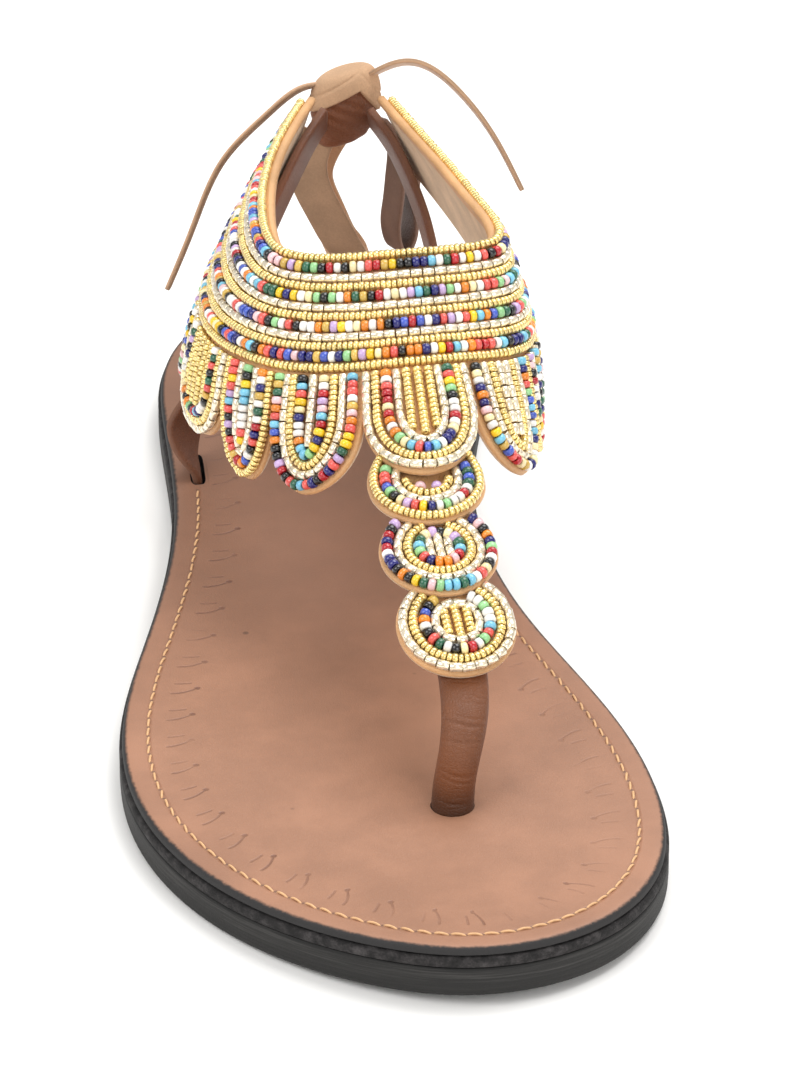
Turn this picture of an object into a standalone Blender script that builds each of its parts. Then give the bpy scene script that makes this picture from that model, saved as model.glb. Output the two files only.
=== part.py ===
"""Beaded thong sandal for the right foot, standing empty on its sole.

Sizes are in millimetres. Places are given as (forward, across, up): forward from the back of the
heel, across from the sole's middle line towards the inner side of the foot, and up from the top of
the footbed. The toe points along -Y, the inner side along +X, and the ground is at Z = 0.
"""
import math

import bmesh
import bpy
import numpy as np

MM = 0.001

# Sole
SOLE_LENGTH = 252.0          # footbed, heel to toe
LAYER_GAP = 0.3
OUTSOLE_THICK = 5.4
MIDSOLE_THICK = 1.6
FOOTBED_THICK = 1.6
OUTSOLE_LIP = 1.1            # outsole and midsole stand out past the footbed
TOE_SPRING = 1.6             # rise at the toe tip
SPRING_START = 0.86          # share of the length where the rise begins
ARCH_LIFT = 0.9              # hollow under the waist
ARCH_FROM = 0.36
ARCH_TO = 0.56
SOLE_STATIONS = 40
TOE_TIP_ACROSS = 5.0
SOLE_SECTIONS = (
    # forward, inner half width, outer half width
    (4.5, 19.5, 15.6),
    (25.0, 31.2, 29.8),
    (55.0, 28.6, 32.9),
    (98.0, 23.2, 33.4),
    (140.0, 27.7, 40.8),
    (174.0, 37.4, 47.2),
    (204.0, 42.2, 44.6),
    (231.0, 37.7, 29.9),
    (246.0, 25.6, 12.0),
)

# Openings in the footbed
TOE_HOLE = (205.8, 7.0)      # forward, across
TOE_HOLE_RADIUS = 3.8
SLOT_FORWARD = 77.0
SLOT_OUTER = -28.3
SLOT_INNER = 20.2
SLOT_LENGTH = 12.6
SLOT_WIDTH = 2.9

# Upper wall, measured in from the tops of the beads
WALL = 3.3                   # leather and beads together
LEATHER = 1.8
BED_DROP = 0.45              # low bead rows below the high ones
BED_MARGIN = 1.3             # bare leather along an edge

# Collar and petals: one row for each petal axis, round the ankle from the outer end to the inner end
COLLAR = (
    # rim forward, across, up   hem forward, across, up   tip forward, across, up
    (41.8, -4.6, 63.5, 42.2, -9.1, 49.5, 41.6, -11.4, 36.0),
    (60.2, -10.3, 64.3, 65.8, -19.7, 47.0, 64.6, -23.5, 28.5),
    (78.8, -14.4, 65.0, 87.4, -27.1, 46.0, 87.3, -30.9, 27.0),
    (96.5, -16.4, 65.5, 108.6, -29.1, 46.5, 108.5, -32.6, 27.0),
    (111.8, -15.4, 64.9, 127.0, -22.9, 48.3, 132.5, -25.6, 27.5),
    (117.5, -6.6, 64.7, 137.5, -10.2, 50.2, 149.8, -13.8, 32.3),
    (119.4, 6.5, 65.9, 142.2, 7.6, 53.5, 162.4, 8.0, 43.2),
    (118.4, 19.2, 66.0, 137.2, 23.5, 51.2, 147.6, 28.0, 33.0),
    (113.2, 26.6, 66.0, 127.6, 31.3, 48.5, 132.0, 32.2, 28.5),
    (97.8, 24.8, 65.5, 110.6, 32.5, 46.5, 111.1, 33.2, 27.0),
    (79.9, 21.3, 65.0, 89.2, 30.0, 46.0, 89.2, 31.8, 27.0),
    (61.1, 17.3, 64.3, 67.2, 26.2, 47.0, 66.2, 29.4, 28.5),
    (42.4, 13.7, 63.5, 43.1, 19.6, 49.5, 42.6, 22.4, 36.0),
)
PETAL_EDGES = (-4.5, -3.4, -2.28, -1.5, -0.56, 0.56, 1.52, 2.5, 3.5, 4.5)   # notches between petals, counted in rows
NOTCH_LEVEL = 1.38           # 1 is the hem, 2 the petal tips
TAIL_LEVEL = 1.1
PETAL_COLUMNS = (-1.0, -0.88, -0.68, -0.36, 0.0, 0.36, 0.68, 0.88)
TAIL_COLUMNS = (4.58, 4.8, 5.1, 5.4, 5.7, 6.0)
PETAL_ROWS = (0.22, 0.45, 0.68, 0.86, 0.95, 1.0)
BEAD_ROWS = "GMSGMSGMSGMG"   # gold, mixed, silver, from the rim to the hem
BEAD_PITCH = {"G": 1.45, "M": 2.2, "S": 1.8}
PETAL_HALF = 9.0             # half width of a petal, for its bare edge

# Strap of three discs
STRAP_LINE = (
    # forward, across, up: top of the beads, from the lowest disc up to the hem
    (198.1, 11.0, 22.0),
    (183.4, 9.2, 29.8),
    (169.3, 7.8, 36.5),
    (158.6, 7.5, 41.3),
    (150.1, 7.5, 46.0),
    (143.6, 7.7, 50.9),
    (136.1, 7.8, 55.4),
)
DISC_RADIUS = 10.8
DISC_PITCH = 15.5
DISCS = 3
NECK_HALF = 7.0
BEAD_END = 40.0              # beads stop here, under the middle petal
STRAP_CROWN = 0.7            # edges lie lower than the middle
JOIN_DISTANCE = 0.08         # points nearer than this are one

# Toe post: centre line, half width across the foot, half thickness
TOE_POST = (
    # forward, across, up, half width, half thickness
    (205.8, 7.0, -1.25, 3.2, 3.1),
    (205.6, 7.3, 4.0, 3.2, 3.1),
    (204.8, 8.2, 9.0, 3.5, 2.9),
    (202.0, 9.3, 13.2, 3.9, 2.4),
    (197.1, 10.0, 16.6, 4.2, 1.8),
    (189.2, 9.9, 20.9, 4.3, 1.5),
)

# Heel straps, from the footbed's slots to the knot: centre line
STRAP_WIDTH = 10.5
STRAP_THICK = 1.9
HEEL_TIE_OUTER = (
    # forward, across, up
    (77.0, -28.3, -1.25),
    (76.9, -29.2, 3.0),
    (76.2, -30.2, 8.0),
    (74.8, -27.6, 14.5),
    (72.0, -23.0, 23.0),
    (66.6, -18.7, 31.0),
    (58.5, -12.9, 41.0),
    (48.7, -6.3, 50.0),
    (43.4, -3.0, 53.4),
    (38.6, 0.4, 56.3),
)
HEEL_TIE_INNER = (
    (77.0, 20.2, -1.25),
    (76.9, 20.5, 3.0),
    (75.8, 20.8, 8.0),
    (72.6, 21.0, 14.5),
    (67.0, 21.0, 23.0),
    (61.4, 20.4, 31.0),
    (54.6, 18.8, 40.0),
    (48.6, 15.8, 48.0),
    (43.7, 13.2, 52.7),
    (38.6, 10.0, 56.2),
)
OUTER_FACING = (-0.38, -0.89, 0.22)
INNER_FACING = (-0.25, 0.9, 0.36)
TIE_TURNS = (
    # run from the slot, then the strap's outer face: forward, outwards, up
    (0.0, 0.0, 1.0, 0.0),
    (2.5, 0.0, 1.0, 0.0),
    (6.0, -0.35, 0.94, 0.0),
    (11.0, -0.74, 0.67, 0.0),
    (18.0, -0.5, 0.86, 0.1),
)
TURN_END = 28.0              # from here on the strap lies flat inside the collar

# Tie behind the heel
KNOT_CENTRE = (33.5, 5.0, 57.0)
KNOT_HALF = (4.2, 7.2, 8.4)  # forward, across, up
KNOT_WRAPS = 3
KNOT_GROOVE = 0.07
END_WIDTH = 7.0
END_TIP_WIDTH = 3.0
END_THICK = 1.6
END_BROAD = (0.9, -0.14, 0.43)
TIE_END_OUTER = (
    (33.7, -2.6, 61.4),
    (35.5, -10.1, 56.8),
    (37.1, -19.4, 47.7),
    (38.8, -25.6, 34.8),
    (39.8, -31.1, 21.8),
)
TIE_END_INNER = (
    (33.8, 10.7, 63.2),
    (35.3, 18.0, 66.3),
    (37.4, 27.9, 59.9),
    (39.1, 34.9, 50.0),
    (40.3, 39.6, 40.4),
)
LOOP_WIDTH = 8.0
LOOP_THICK = 1.7
TIE_LOOP_OUTER = (
    (32.8, 1.4, 48.3),
    (33.0, -2.6, 44.6),
    (33.2, -2.4, 40.4),
    (33.3, 0.2, 35.4),
    (33.2, 2.6, 30.4),
    (32.8, 4.9, 26.0),
    (31.2, 6.2, 23.4),
    (29.4, 5.2, 24.6),
    (28.6, 2.8, 29.6),
    (28.3, 0.6, 35.0),
    (28.3, -0.8, 40.4),
    (29.0, 0.6, 46.0),
)
TIE_LOOP_INNER = (
    (31.8, 12.3, 53.0),
    (32.3, 15.4, 47.4),
    (32.5, 15.4, 41.0),
    (32.5, 14.7, 34.0),
    (32.4, 14.5, 28.0),
    (31.9, 16.0, 24.6),
    (31.4, 17.6, 27.0),
    (31.2, 17.9, 33.0),
    (31.2, 18.4, 40.0),
    (31.0, 18.0, 46.6),
)

SOLE_TOP = OUTSOLE_THICK + MIDSOLE_THICK + FOOTBED_THICK + 2 * LAYER_GAP

BLACK_RUBBER = ((0.012, 0.012, 0.013, 1.0), 0.75)
BLACK_EDGE = ((0.022, 0.020, 0.020, 1.0), 0.70)
BROWN_LEATHER = ((0.40, 0.20, 0.12, 1.0), 0.45)
DARK_LEATHER = ((0.22, 0.10, 0.06, 1.0), 0.55)
BEAD_GOLD = ((0.62, 0.44, 0.16, 1.0), 0.35)


def spline(knots, values, at):
    """Natural cubic spline through the values at the knots, read at each place in at."""
    knots = np.asarray(knots, float)
    values = np.asarray(values, float)
    at = np.asarray(at, float)
    step = np.diff(knots)
    count = len(knots)
    left = np.eye(count)
    right = np.zeros_like(values)
    for i in range(1, count - 1):
        left[i, i - 1:i + 2] = step[i - 1], 2 * (step[i - 1] + step[i]), step[i]
        rise = (values[i + 1] - values[i]) / step[i] - (values[i] - values[i - 1]) / step[i - 1]
        right[i] = 6 * rise
    bend = np.linalg.solve(left, right)
    i = np.clip(np.searchsorted(knots, at) - 1, 0, count - 2)
    shape = at.shape + (1,) * (values.ndim - 1)
    width = step[i].reshape(shape)
    b = (at - knots[i]).reshape(shape) / width
    a = 1 - b
    bent = ((a ** 3 - a) * bend[i] + (b ** 3 - b) * bend[i + 1]) * width ** 2 / 6
    return a * values[i] + b * values[i + 1] + bent


def smooth_path(rows, count):
    """Evenly spaced points on a smooth curve through table rows."""
    rows = np.asarray(rows, float)
    chord = np.linalg.norm(np.diff(rows[:, :3], axis=0), axis=1)
    knots = np.concatenate([[0.0], np.cumsum(chord)])
    return spline(knots, rows, np.linspace(0.0, knots[-1], count))


def smoothstep(value):
    """Ease from 0 to 1."""
    value = np.clip(value, 0.0, 1.0)
    return value * value * (3 - 2 * value)


def unit(vectors):
    """Vectors made one long."""
    return vectors / np.linalg.norm(vectors, axis=-1, keepdims=True)


def sole_loop():
    """Footbed outline: heel tip, inner side, toe tip, outer side, as (forward, across)."""
    table = np.asarray(SOLE_SECTIONS)
    inner = table[:, [0, 1]]
    outer = table[::-1, [0, 2]] * (1, -1)
    ring = np.vstack([[(0.0, 0.0)], inner, [(SOLE_LENGTH, TOE_TIP_ACROSS)], outer])
    size = len(ring)
    wrapped = np.vstack([ring, ring, ring])
    chord = np.linalg.norm(np.diff(wrapped, axis=0), axis=1)
    knots = np.concatenate([[0.0], np.cumsum(chord)])
    dense = spline(knots, wrapped, np.linspace(knots[size], knots[2 * size], 2000, endpoint=False))
    heel = np.argmin(dense[:, 0])
    dense = np.roll(dense, -heel, axis=0)
    toe = np.argmax(dense[:, 0])
    dense[:, 0] = (dense[:, 0] - dense[0, 0]) * SOLE_LENGTH / (dense[toe, 0] - dense[0, 0])
    share = np.arange(1, SOLE_STATIONS) / SOLE_STATIONS
    stations = SOLE_LENGTH / 2 * (1 - np.cos(math.pi * share))
    side_in = np.interp(stations, dense[:toe + 1, 0], dense[:toe + 1, 1])
    side_out = np.interp(stations, dense[toe:, 0][::-1], dense[toe:, 1][::-1])
    return np.vstack([[dense[0]], np.c_[stations, side_in], [dense[toe]],
                      np.c_[stations, side_out][::-1]])


def grown(loop, distance):
    """The outline moved outwards by a distance."""
    along = np.roll(loop, -1, axis=0) - np.roll(loop, 1, axis=0)
    outward = unit(np.c_[-along[:, 1], along[:, 0]])
    middle = loop.mean(axis=0)
    if np.sum(outward * (loop - middle)) < 0:
        outward = -outward
    return loop + outward * distance


FOOTBED_LOOP = sole_loop()
OUTER_LOOP = grown(FOOTBED_LOOP, OUTSOLE_LIP)
MIDDLE_ACROSS = (OUTER_LOOP[:, 1].max() + OUTER_LOOP[:, 1].min()) / 2
MIDDLE_FORWARD = (OUTER_LOOP[:, 0].max() + OUTER_LOOP[:, 0].min()) / 2


def place(points):
    """(forward, across, up) in millimetres to part coordinates in metres."""
    points = np.asarray(points, float)
    return np.stack([points[..., 1] - MIDDLE_ACROSS, MIDDLE_FORWARD - points[..., 0],
                     points[..., 2] + SOLE_TOP], axis=-1) * MM


def spring(forward):
    """Rise of the sole towards the toe tip."""
    start = SPRING_START * SOLE_LENGTH
    share = np.clip((forward - start) / (SOLE_LENGTH - start), 0.0, 1.2)
    return TOE_SPRING * share ** 2


def arch(forward):
    """Hollow of the outsole's lower face under the waist."""
    share = (forward / SOLE_LENGTH - ARCH_FROM) / (ARCH_TO - ARCH_FROM)
    return ARCH_LIFT * np.where((share > 0) & (share < 1), np.sin(math.pi * share) ** 2, 0.0)


def make_object(name, points, faces, paint):
    """One closed body with its own material, from placed points."""
    mesh = bpy.data.meshes.new(name)
    mesh.from_pydata([tuple(p) for p in points], [], faces)
    body = bmesh.new()
    body.from_mesh(mesh)
    bmesh.ops.recalc_face_normals(body, faces=body.faces)
    if body.calc_volume(signed=True) < 0:
        bmesh.ops.reverse_faces(body, faces=body.faces)
    body.to_mesh(mesh)
    body.free()
    colour, roughness = paint
    material = bpy.data.materials.new(name)
    material.use_nodes = True
    shader = material.node_tree.nodes["Principled BSDF"]
    shader.inputs["Base Color"].default_value = colour
    shader.inputs["Roughness"].default_value = roughness
    mesh.materials.append(material)
    obj = bpy.data.objects.new(name, mesh)
    bpy.context.scene.collection.objects.link(obj)
    return obj


def ring_faces(rings, around, closed=True):
    """Quads between rings of points that lie one after another."""
    faces = []
    last = around if closed else around - 1
    for r in range(rings - 1):
        for i in range(last):
            j = (i + 1) % around
            faces.append((r * around + i, r * around + j, (r + 1) * around + j, (r + 1) * around + i))
    return faces


def sole_layer(name, loop, levels, paint):
    """A layer of the sole from (up, outward) levels; its faces run across the foot."""
    around = len(loop)
    half = around // 2
    points = []
    for up, outward, hollow in levels:
        ring = grown(loop, outward)
        rise = up - SOLE_TOP + spring(ring[:, 0]) + hollow * arch(ring[:, 0])
        points.append(place(np.c_[ring, rise]))
    faces = ring_faces(len(levels), around)
    for base in (0, (len(levels) - 1) * around):
        faces.append((base, base + 1, base + around - 1))
        for i in range(1, half - 1):
            faces.append((base + i, base + i + 1, base + around - i - 1, base + around - i))
        faces.append((base + half - 1, base + half, base + half + 1))
    return make_object(name, np.vstack(points), faces, paint)


def subtract(target, cutter):
    """Cut one body from another and drop the cutter."""
    cutter.hide_render = True
    cutter.display_type = 'WIRE'
    cut = target.modifiers.new("cut", 'BOOLEAN')
    cut.operation = 'DIFFERENCE'
    cut.solver = 'EXACT'
    cut.object = cutter
    apply_modifiers(target)
    bpy.data.objects.remove(cutter)


def apply_modifiers(obj):
    """Replace an object's mesh by its evaluated one."""
    graph = bpy.context.evaluated_depsgraph_get()
    mesh = bpy.data.meshes.new_from_object(obj.evaluated_get(graph))
    obj.modifiers.clear()
    obj.data = mesh


def outsole():
    """Rubber sheet with a bevelled foot and a fine groove under the midsole."""
    top = OUTSOLE_THICK
    levels = ((0.0, -0.7, 1.0), (0.8, 0.0, 1.0), (top - 0.5, 0.0, 0.0), (top, -0.5, 0.0))
    return sole_layer("outsole", OUTER_LOOP, levels, BLACK_RUBBER)


def midsole():
    """Thin layer with its dyed edge between outsole and footbed."""
    low = OUTSOLE_THICK + LAYER_GAP
    top = low + MIDSOLE_THICK
    levels = ((low, -0.5, 0.0), (low + 0.4, -0.1, 0.0), (top - 0.3, -0.1, 0.0), (top, -0.4, 0.0))
    return sole_layer("midsole", OUTER_LOOP, levels, BLACK_EDGE)


def footbed():
    """Leather insole with the toe hole and the two slots cut through it."""
    low = SOLE_TOP - FOOTBED_THICK
    levels = ((low, 0.3, 0.0), (SOLE_TOP - 0.5, 0.0, 0.0), (SOLE_TOP, -0.5, 0.0))
    bed = sole_layer("footbed", FOOTBED_LOOP, levels, BROWN_LEATHER)
    turn = np.linspace(0.0, 2 * math.pi, 24, endpoint=False)
    hole = np.c_[TOE_HOLE[0] + TOE_HOLE_RADIUS * np.cos(turn),
                 TOE_HOLE[1] + TOE_HOLE_RADIUS * np.sin(turn)]
    cutters = [hole]
    for across in (SLOT_OUTER, SLOT_INNER):
        half_long = SLOT_LENGTH / 2
        half_wide = SLOT_WIDTH / 2
        cutters.append(np.array(((SLOT_FORWARD - half_long, across - half_wide),
                                 (SLOT_FORWARD + half_long, across - half_wide),
                                 (SLOT_FORWARD + half_long, across + half_wide),
                                 (SLOT_FORWARD - half_long, across + half_wide))))
    for plan in cutters:
        around = len(plan)
        points = [place(np.c_[plan, np.full(around, up)]) for up in (-4.0, 4.0)]
        faces = ring_faces(2, around) + [tuple(range(around)), tuple(range(around, 2 * around))]
        subtract(bed, make_object("cutter", np.vstack(points), faces, BROWN_LEATHER))
    return bed


def collar_face(row, level):
    """Bead tops of the collar: row 0 is its front, level 0 the rim, 1 the hem and 2 the tips."""
    knots = np.arange(len(COLLAR)) - len(COLLAR) // 2
    guides = spline(knots, COLLAR, row)
    rim, hem, tip = guides[..., 0:3], guides[..., 3:6], guides[..., 6:9]
    level = np.asarray(level)[..., None]
    rim_part = (1 - level) * (2 - level) / 2
    hem_part = level * (2 - level)
    tip_part = level * (level - 1) / 2
    return rim_part * rim + hem_part * hem + tip_part * tip


def collar_out(row, level):
    """Outward direction of the collar's face."""
    small = 0.01
    round_ankle = collar_face(row + small, level) - collar_face(row - small, level)
    down = collar_face(row, level + small) - collar_face(row, level - small)
    return unit(np.cross(down, round_ankle))


def petal_list():
    """Centre and half width of each petal, counted in collar rows."""
    return [((a + b) / 2, (b - a) / 2) for a, b in zip(PETAL_EDGES[:-1], PETAL_EDGES[1:])]


def bead_levels():
    """Levels of the band's grid and how far each lies below the bead tops."""
    total = BED_MARGIN + sum(BEAD_PITCH[kind] for kind in BEAD_ROWS)
    edge = -(WALL - LEATHER)
    grid = [(0.0, edge), ((BED_MARGIN - 0.2) / total, edge), ((BED_MARGIN + 0.2) / total, -BED_DROP)]
    place_now = BED_MARGIN
    for kind in BEAD_ROWS:
        pitch = BEAD_PITCH[kind]
        if kind == "M":
            grid.append((place_now / total, -BED_DROP))
            grid.append(((place_now + pitch / 2) / total, 0.0))
            grid.append(((place_now + pitch) / total, -BED_DROP))
        place_now += pitch
    grid.append((1.0, -BED_DROP))
    return grid


def collar():
    """Collar with its petals: bead bed raised on a leather wall, bare leather at every edge."""
    columns = []
    for centre, half in petal_list():
        columns += [(centre + share * half, centre, half) for share in PETAL_COLUMNS]
    last = PETAL_EDGES[-1]
    centre, half = petal_list()[-1]
    columns.append((last, centre, half))
    tails = [(row, None, None) for row in TAIL_COLUMNS]
    columns = [(-row, None, None) for row, _, _ in tails[::-1]] + columns + tails
    band = bead_levels()
    edge = -(WALL - LEATHER)
    outer = []
    inner = []
    for row, centre, half in columns:
        low = TAIL_LEVEL
        if centre is not None:
            low = NOTCH_LEVEL + (2 - NOTCH_LEVEL) * math.sqrt(max(0.0, 1 - ((row - centre) / half) ** 2))
        levels = [level for level, _ in band]
        relief = [drop for _, drop in band]
        for share in PETAL_ROWS:
            level = 1 + share * (low - 1)
            bare = (1 - share) * (low - 1) * PETAL_HALF
            if centre is not None:
                lean = abs(row - centre) / half
                reach = max(0.0, level - NOTCH_LEVEL) / (2 - NOTCH_LEVEL)
                bare = PETAL_HALF * (1 - math.hypot(lean, reach))
            levels.append(level)
            relief.append(edge - (edge + BED_DROP) * float(smoothstep(bare / BED_MARGIN)))
        levels = np.array(levels)
        rows = np.full(len(levels), row)
        face = collar_face(rows, levels)
        out = collar_out(rows, levels)
        outer.append(face + out * np.array(relief)[:, None])
        back = np.array((0.0, 0.5, 1.0, (1 + low) / 2, low))
        rows = np.full(len(back), row)
        inner.append(collar_face(rows, back) - collar_out(rows, back) * WALL)
    outer = np.array(outer)
    inner = np.array(inner)
    count, deep = outer.shape[:2]
    thin = inner.shape[1]
    points = np.vstack([outer.reshape(-1, 3), inner.reshape(-1, 3)])
    start = count * deep
    faces = ring_faces(count, deep, closed=False)
    faces += [tuple(start + i for i in quad) for quad in ring_faces(count, thin, closed=False)]
    for c in range(count - 1):
        a, b = c * deep, (c + 1) * deep
        d, e = start + c * thin, start + (c + 1) * thin
        faces.append((a, b, e, d))
        faces.append((a + deep - 1, b + deep - 1, e + thin - 1, d + thin - 1))
    for c in (0, count - 1):
        front = [c * deep + i for i in range(deep)]
        rear = [start + c * thin + i for i in range(thin)]
        faces.append(tuple(front + rear[::-1]))
    return make_object("upper", place(points), faces, BEAD_GOLD)


def disc_strap():
    """Strap of three overlapping discs with its narrow neck under the middle petal."""
    centres = [DISC_RADIUS + i * DISC_PITCH for i in range(DISCS)]
    rows = np.asarray(STRAP_LINE)
    chord = np.linalg.norm(np.diff(rows, axis=0), axis=1)
    knots = np.concatenate([[0.0], np.cumsum(chord)])
    length = knots[-1]
    steps = [DISC_RADIUS * (1 - math.cos(math.radians(a))) for a in (14, 34, 56, 78)]
    for centre in centres:
        steps += [centre + share * DISC_PITCH for share in (-0.27, 0.0, 0.27, 0.5)]
    steps = sorted(s for s in set(steps) if s < BEAD_END - 1)
    steps += [BEAD_END - 0.5, BEAD_END + 0.5]
    steps += list(np.linspace(BEAD_END + 0.5, length, 7)[1:])
    edge = -(WALL - LEATHER)
    shares = np.array((-1.0, -0.99, -0.55, -0.2, 0.2, 0.55, 0.99, 1.0))
    outer = []
    inner = []
    for t in steps:
        wide = max([math.sqrt(max(0.0, DISC_RADIUS ** 2 - (t - c) ** 2)) for c in centres] + [0.0])
        if t > centres[-1]:
            wide = max(wide * float(t < BEAD_END), NECK_HALF)
        middle = spline(knots, rows, np.array([t]))[0]
        along = unit(spline(knots, rows, np.array([t + 0.1]))[0] - spline(knots, rows, np.array([t - 0.1]))[0])
        side = unit(np.cross(along, (0.0, 0.0, 1.0)))
        out = np.cross(side, along)
        out = out * np.sign(out[2])
        bed = max(wide - BED_MARGIN, 0.3 * wide)
        across = shares * bed
        across[0], across[-1] = -wide, wide
        notch = min(abs(t - (a + b) / 2) for a, b in zip(centres[:-1], centres[1:]))
        high = -BED_DROP - 0.6 * float(notch < 0.1)
        if t > BEAD_END or t < BED_MARGIN / 2:
            high = edge
        drop = np.full(len(shares), high)
        drop[0] = drop[-1] = edge
        crown = -STRAP_CROWN * (across / DISC_RADIUS) ** 2
        base = middle + across[:, None] * side
        outer.append(base + (drop + crown)[:, None] * out)
        inner.append(base + (crown - WALL)[:, None] * out)
    rings = [np.vstack([o, i[::-1]]) for o, i in zip(outer, inner)]
    around = len(rings[0])
    faces = ring_faces(len(rings), around)
    faces.append(tuple(range(around)))
    faces.append(tuple(range((len(rings) - 1) * around, len(rings) * around)))
    return make_object("disc_strap", place(np.vstack(rings)), faces, BEAD_GOLD)


def upper():
    """Collar, petals and disc strap as one wall."""
    body = collar()
    strap = disc_strap()
    strap.hide_render = True
    strap.display_type = 'WIRE'
    union = body.modifiers.new("union", 'BOOLEAN')
    union.operation = 'UNION'
    union.solver = 'EXACT'
    union.object = strap
    apply_modifiers(body)
    bpy.data.objects.remove(strap)
    joined = bmesh.new()
    joined.from_mesh(body.data)
    bmesh.ops.remove_doubles(joined, verts=joined.verts, dist=JOIN_DISTANCE * MM)
    joined.to_mesh(body.data)
    joined.free()
    return body


def sweep(name, path, face, half_wide, half_thick, paint, square=4.0, around=8):
    """A strap along a path: flattened round section, its broad face turned to the face vectors."""
    along = unit(np.gradient(path, axis=0))
    wide = unit(np.cross(along, face))
    flat = np.cross(wide, along)
    turn = (np.arange(around) + 0.5) * 2 * math.pi / around
    sides = np.sign(np.cos(turn)) * np.abs(np.cos(turn)) ** (2 / square)
    rises = np.sign(np.sin(turn)) * np.abs(np.sin(turn)) ** (2 / square)
    half_wide = np.broadcast_to(half_wide, len(path))[:, None, None]
    half_thick = np.broadcast_to(half_thick, len(path))[:, None, None]
    rings = (path[:, None] + sides[None, :, None] * wide[:, None] * half_wide
             + rises[None, :, None] * flat[:, None] * half_thick)
    faces = ring_faces(len(path), around)
    faces.append(tuple(range(around)))
    faces.append(tuple(range((len(path) - 1) * around, len(path) * around)))
    return make_object(name, place(rings.reshape(-1, 3)), faces, paint)


def toe_post():
    """Rolled leather thong, round in the footbed and flat under the lowest disc."""
    rows = smooth_path(TOE_POST, 15)
    face = np.tile((1.0, 0.0, 0.35), (len(rows), 1))
    return sweep("toe_post", rows[:, :3], face, rows[:, 3], rows[:, 4], DARK_LEATHER, square=2.2, around=14)


def heel_tie(name, rows, facing):
    """Flat strap from a footbed slot back to the knot, twisted above the slot and then close inside the collar."""
    path = smooth_path(rows, 32)
    run = np.concatenate([[0.0], np.cumsum(np.linalg.norm(np.diff(path, axis=0), axis=1))])
    turns = np.array(TIE_TURNS) * (1.0, 1.0, np.sign(facing[1]), 1.0)
    turns = np.vstack([turns, [(TURN_END, *facing)]])
    face = unit(np.stack([np.interp(run, turns[:, 0], turns[:, k]) for k in (1, 2, 3)], axis=1))
    return sweep(name, path, face, STRAP_WIDTH / 2, STRAP_THICK / 2, DARK_LEATHER)


def tie_end(name, rows):
    """Loose end of the tie, flat and narrowing to its tip."""
    path = smooth_path(rows, 18)
    share = np.linspace(0.0, 1.0, len(path))
    half = (END_WIDTH + (END_TIP_WIDTH - END_WIDTH) * share ** 3) / 2
    face = np.cross(np.gradient(path, axis=0), END_BROAD)
    return sweep(name, path, face, half, END_THICK / 2, DARK_LEATHER)


def tie_loop(name, rows, broad):
    """Loop of the bow that hangs below the knot."""
    path = smooth_path(rows, 22)
    face = np.cross(np.gradient(path, axis=0), broad)
    return sweep(name, path, face, LOOP_WIDTH / 2, LOOP_THICK / 2, DARK_LEATHER)


def tie_knot():
    """Knot of flat leather, wrapped three times across."""
    rings = 15
    around = 16
    points = []
    for r in range(rings):
        tilt = math.pi * (r + 0.5) / rings
        height = -math.cos(tilt)
        waist = math.sqrt(1 - height ** 2) ** 0.6
        waist *= 1 - KNOT_GROOVE * (0.5 - 0.5 * math.cos(2 * math.pi * KNOT_WRAPS * (height + 1) / 2))
        for i in range(around):
            turn = 2 * math.pi * i / around
            points.append((KNOT_CENTRE[0] + KNOT_HALF[0] * waist * math.cos(turn),
                           KNOT_CENTRE[1] + KNOT_HALF[1] * waist * math.sin(turn),
                           KNOT_CENTRE[2] + KNOT_HALF[2] * height))
    faces = ring_faces(rings, around)
    faces.append(tuple(range(around)))
    faces.append(tuple(range((rings - 1) * around, rings * around)))
    return make_object("tie_knot", place(points), faces, DARK_LEATHER)


def build():
    """Make every piece of the sandal."""
    for obj in list(bpy.data.objects):
        bpy.data.objects.remove(obj)
    outsole()
    midsole()
    footbed()
    toe_post()
    upper()
    heel_tie("heel_tie_lateral", HEEL_TIE_OUTER, OUTER_FACING)
    heel_tie("heel_tie_medial", HEEL_TIE_INNER, INNER_FACING)
    tie_knot()
    tie_end("tie_end_lateral", TIE_END_OUTER)
    tie_end("tie_end_medial", TIE_END_INNER)
    tie_loop("tie_loop_lateral", TIE_LOOP_OUTER, (0.35, 0.94, 0.0))
    tie_loop("tie_loop_medial", TIE_LOOP_INNER, (0.93, 0.36, 0.1))


build()
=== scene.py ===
"""Beaded thong sandal for the right foot, dressed with beads, leather, suede, stitches and rubber.

Places in the tables are (forward, across, up) in millimetres: forward from the back of the heel,
across from the sole's middle line towards the inner side, up from the top of the footbed.
"""

import math

import bpy
import numpy as np
from bpy.props import FloatProperty, FloatVectorProperty, IntProperty, PointerProperty
from mathutils import Matrix, Vector


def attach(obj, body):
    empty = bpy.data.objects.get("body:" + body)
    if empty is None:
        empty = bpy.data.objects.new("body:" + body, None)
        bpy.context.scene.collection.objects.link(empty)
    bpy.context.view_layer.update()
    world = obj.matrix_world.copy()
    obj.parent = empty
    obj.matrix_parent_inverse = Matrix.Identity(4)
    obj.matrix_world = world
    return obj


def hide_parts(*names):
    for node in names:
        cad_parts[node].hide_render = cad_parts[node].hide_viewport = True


bl_info = {
    "name": "Beaded Sandal",
    "version": (1, 0, 0),
    "blender": (4, 5, 0),
    "location": "View3D > Sidebar > Sandal",
    "description": "Builds a beaded leather sandal round its packed solids",
    "category": "Object",
}

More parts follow.
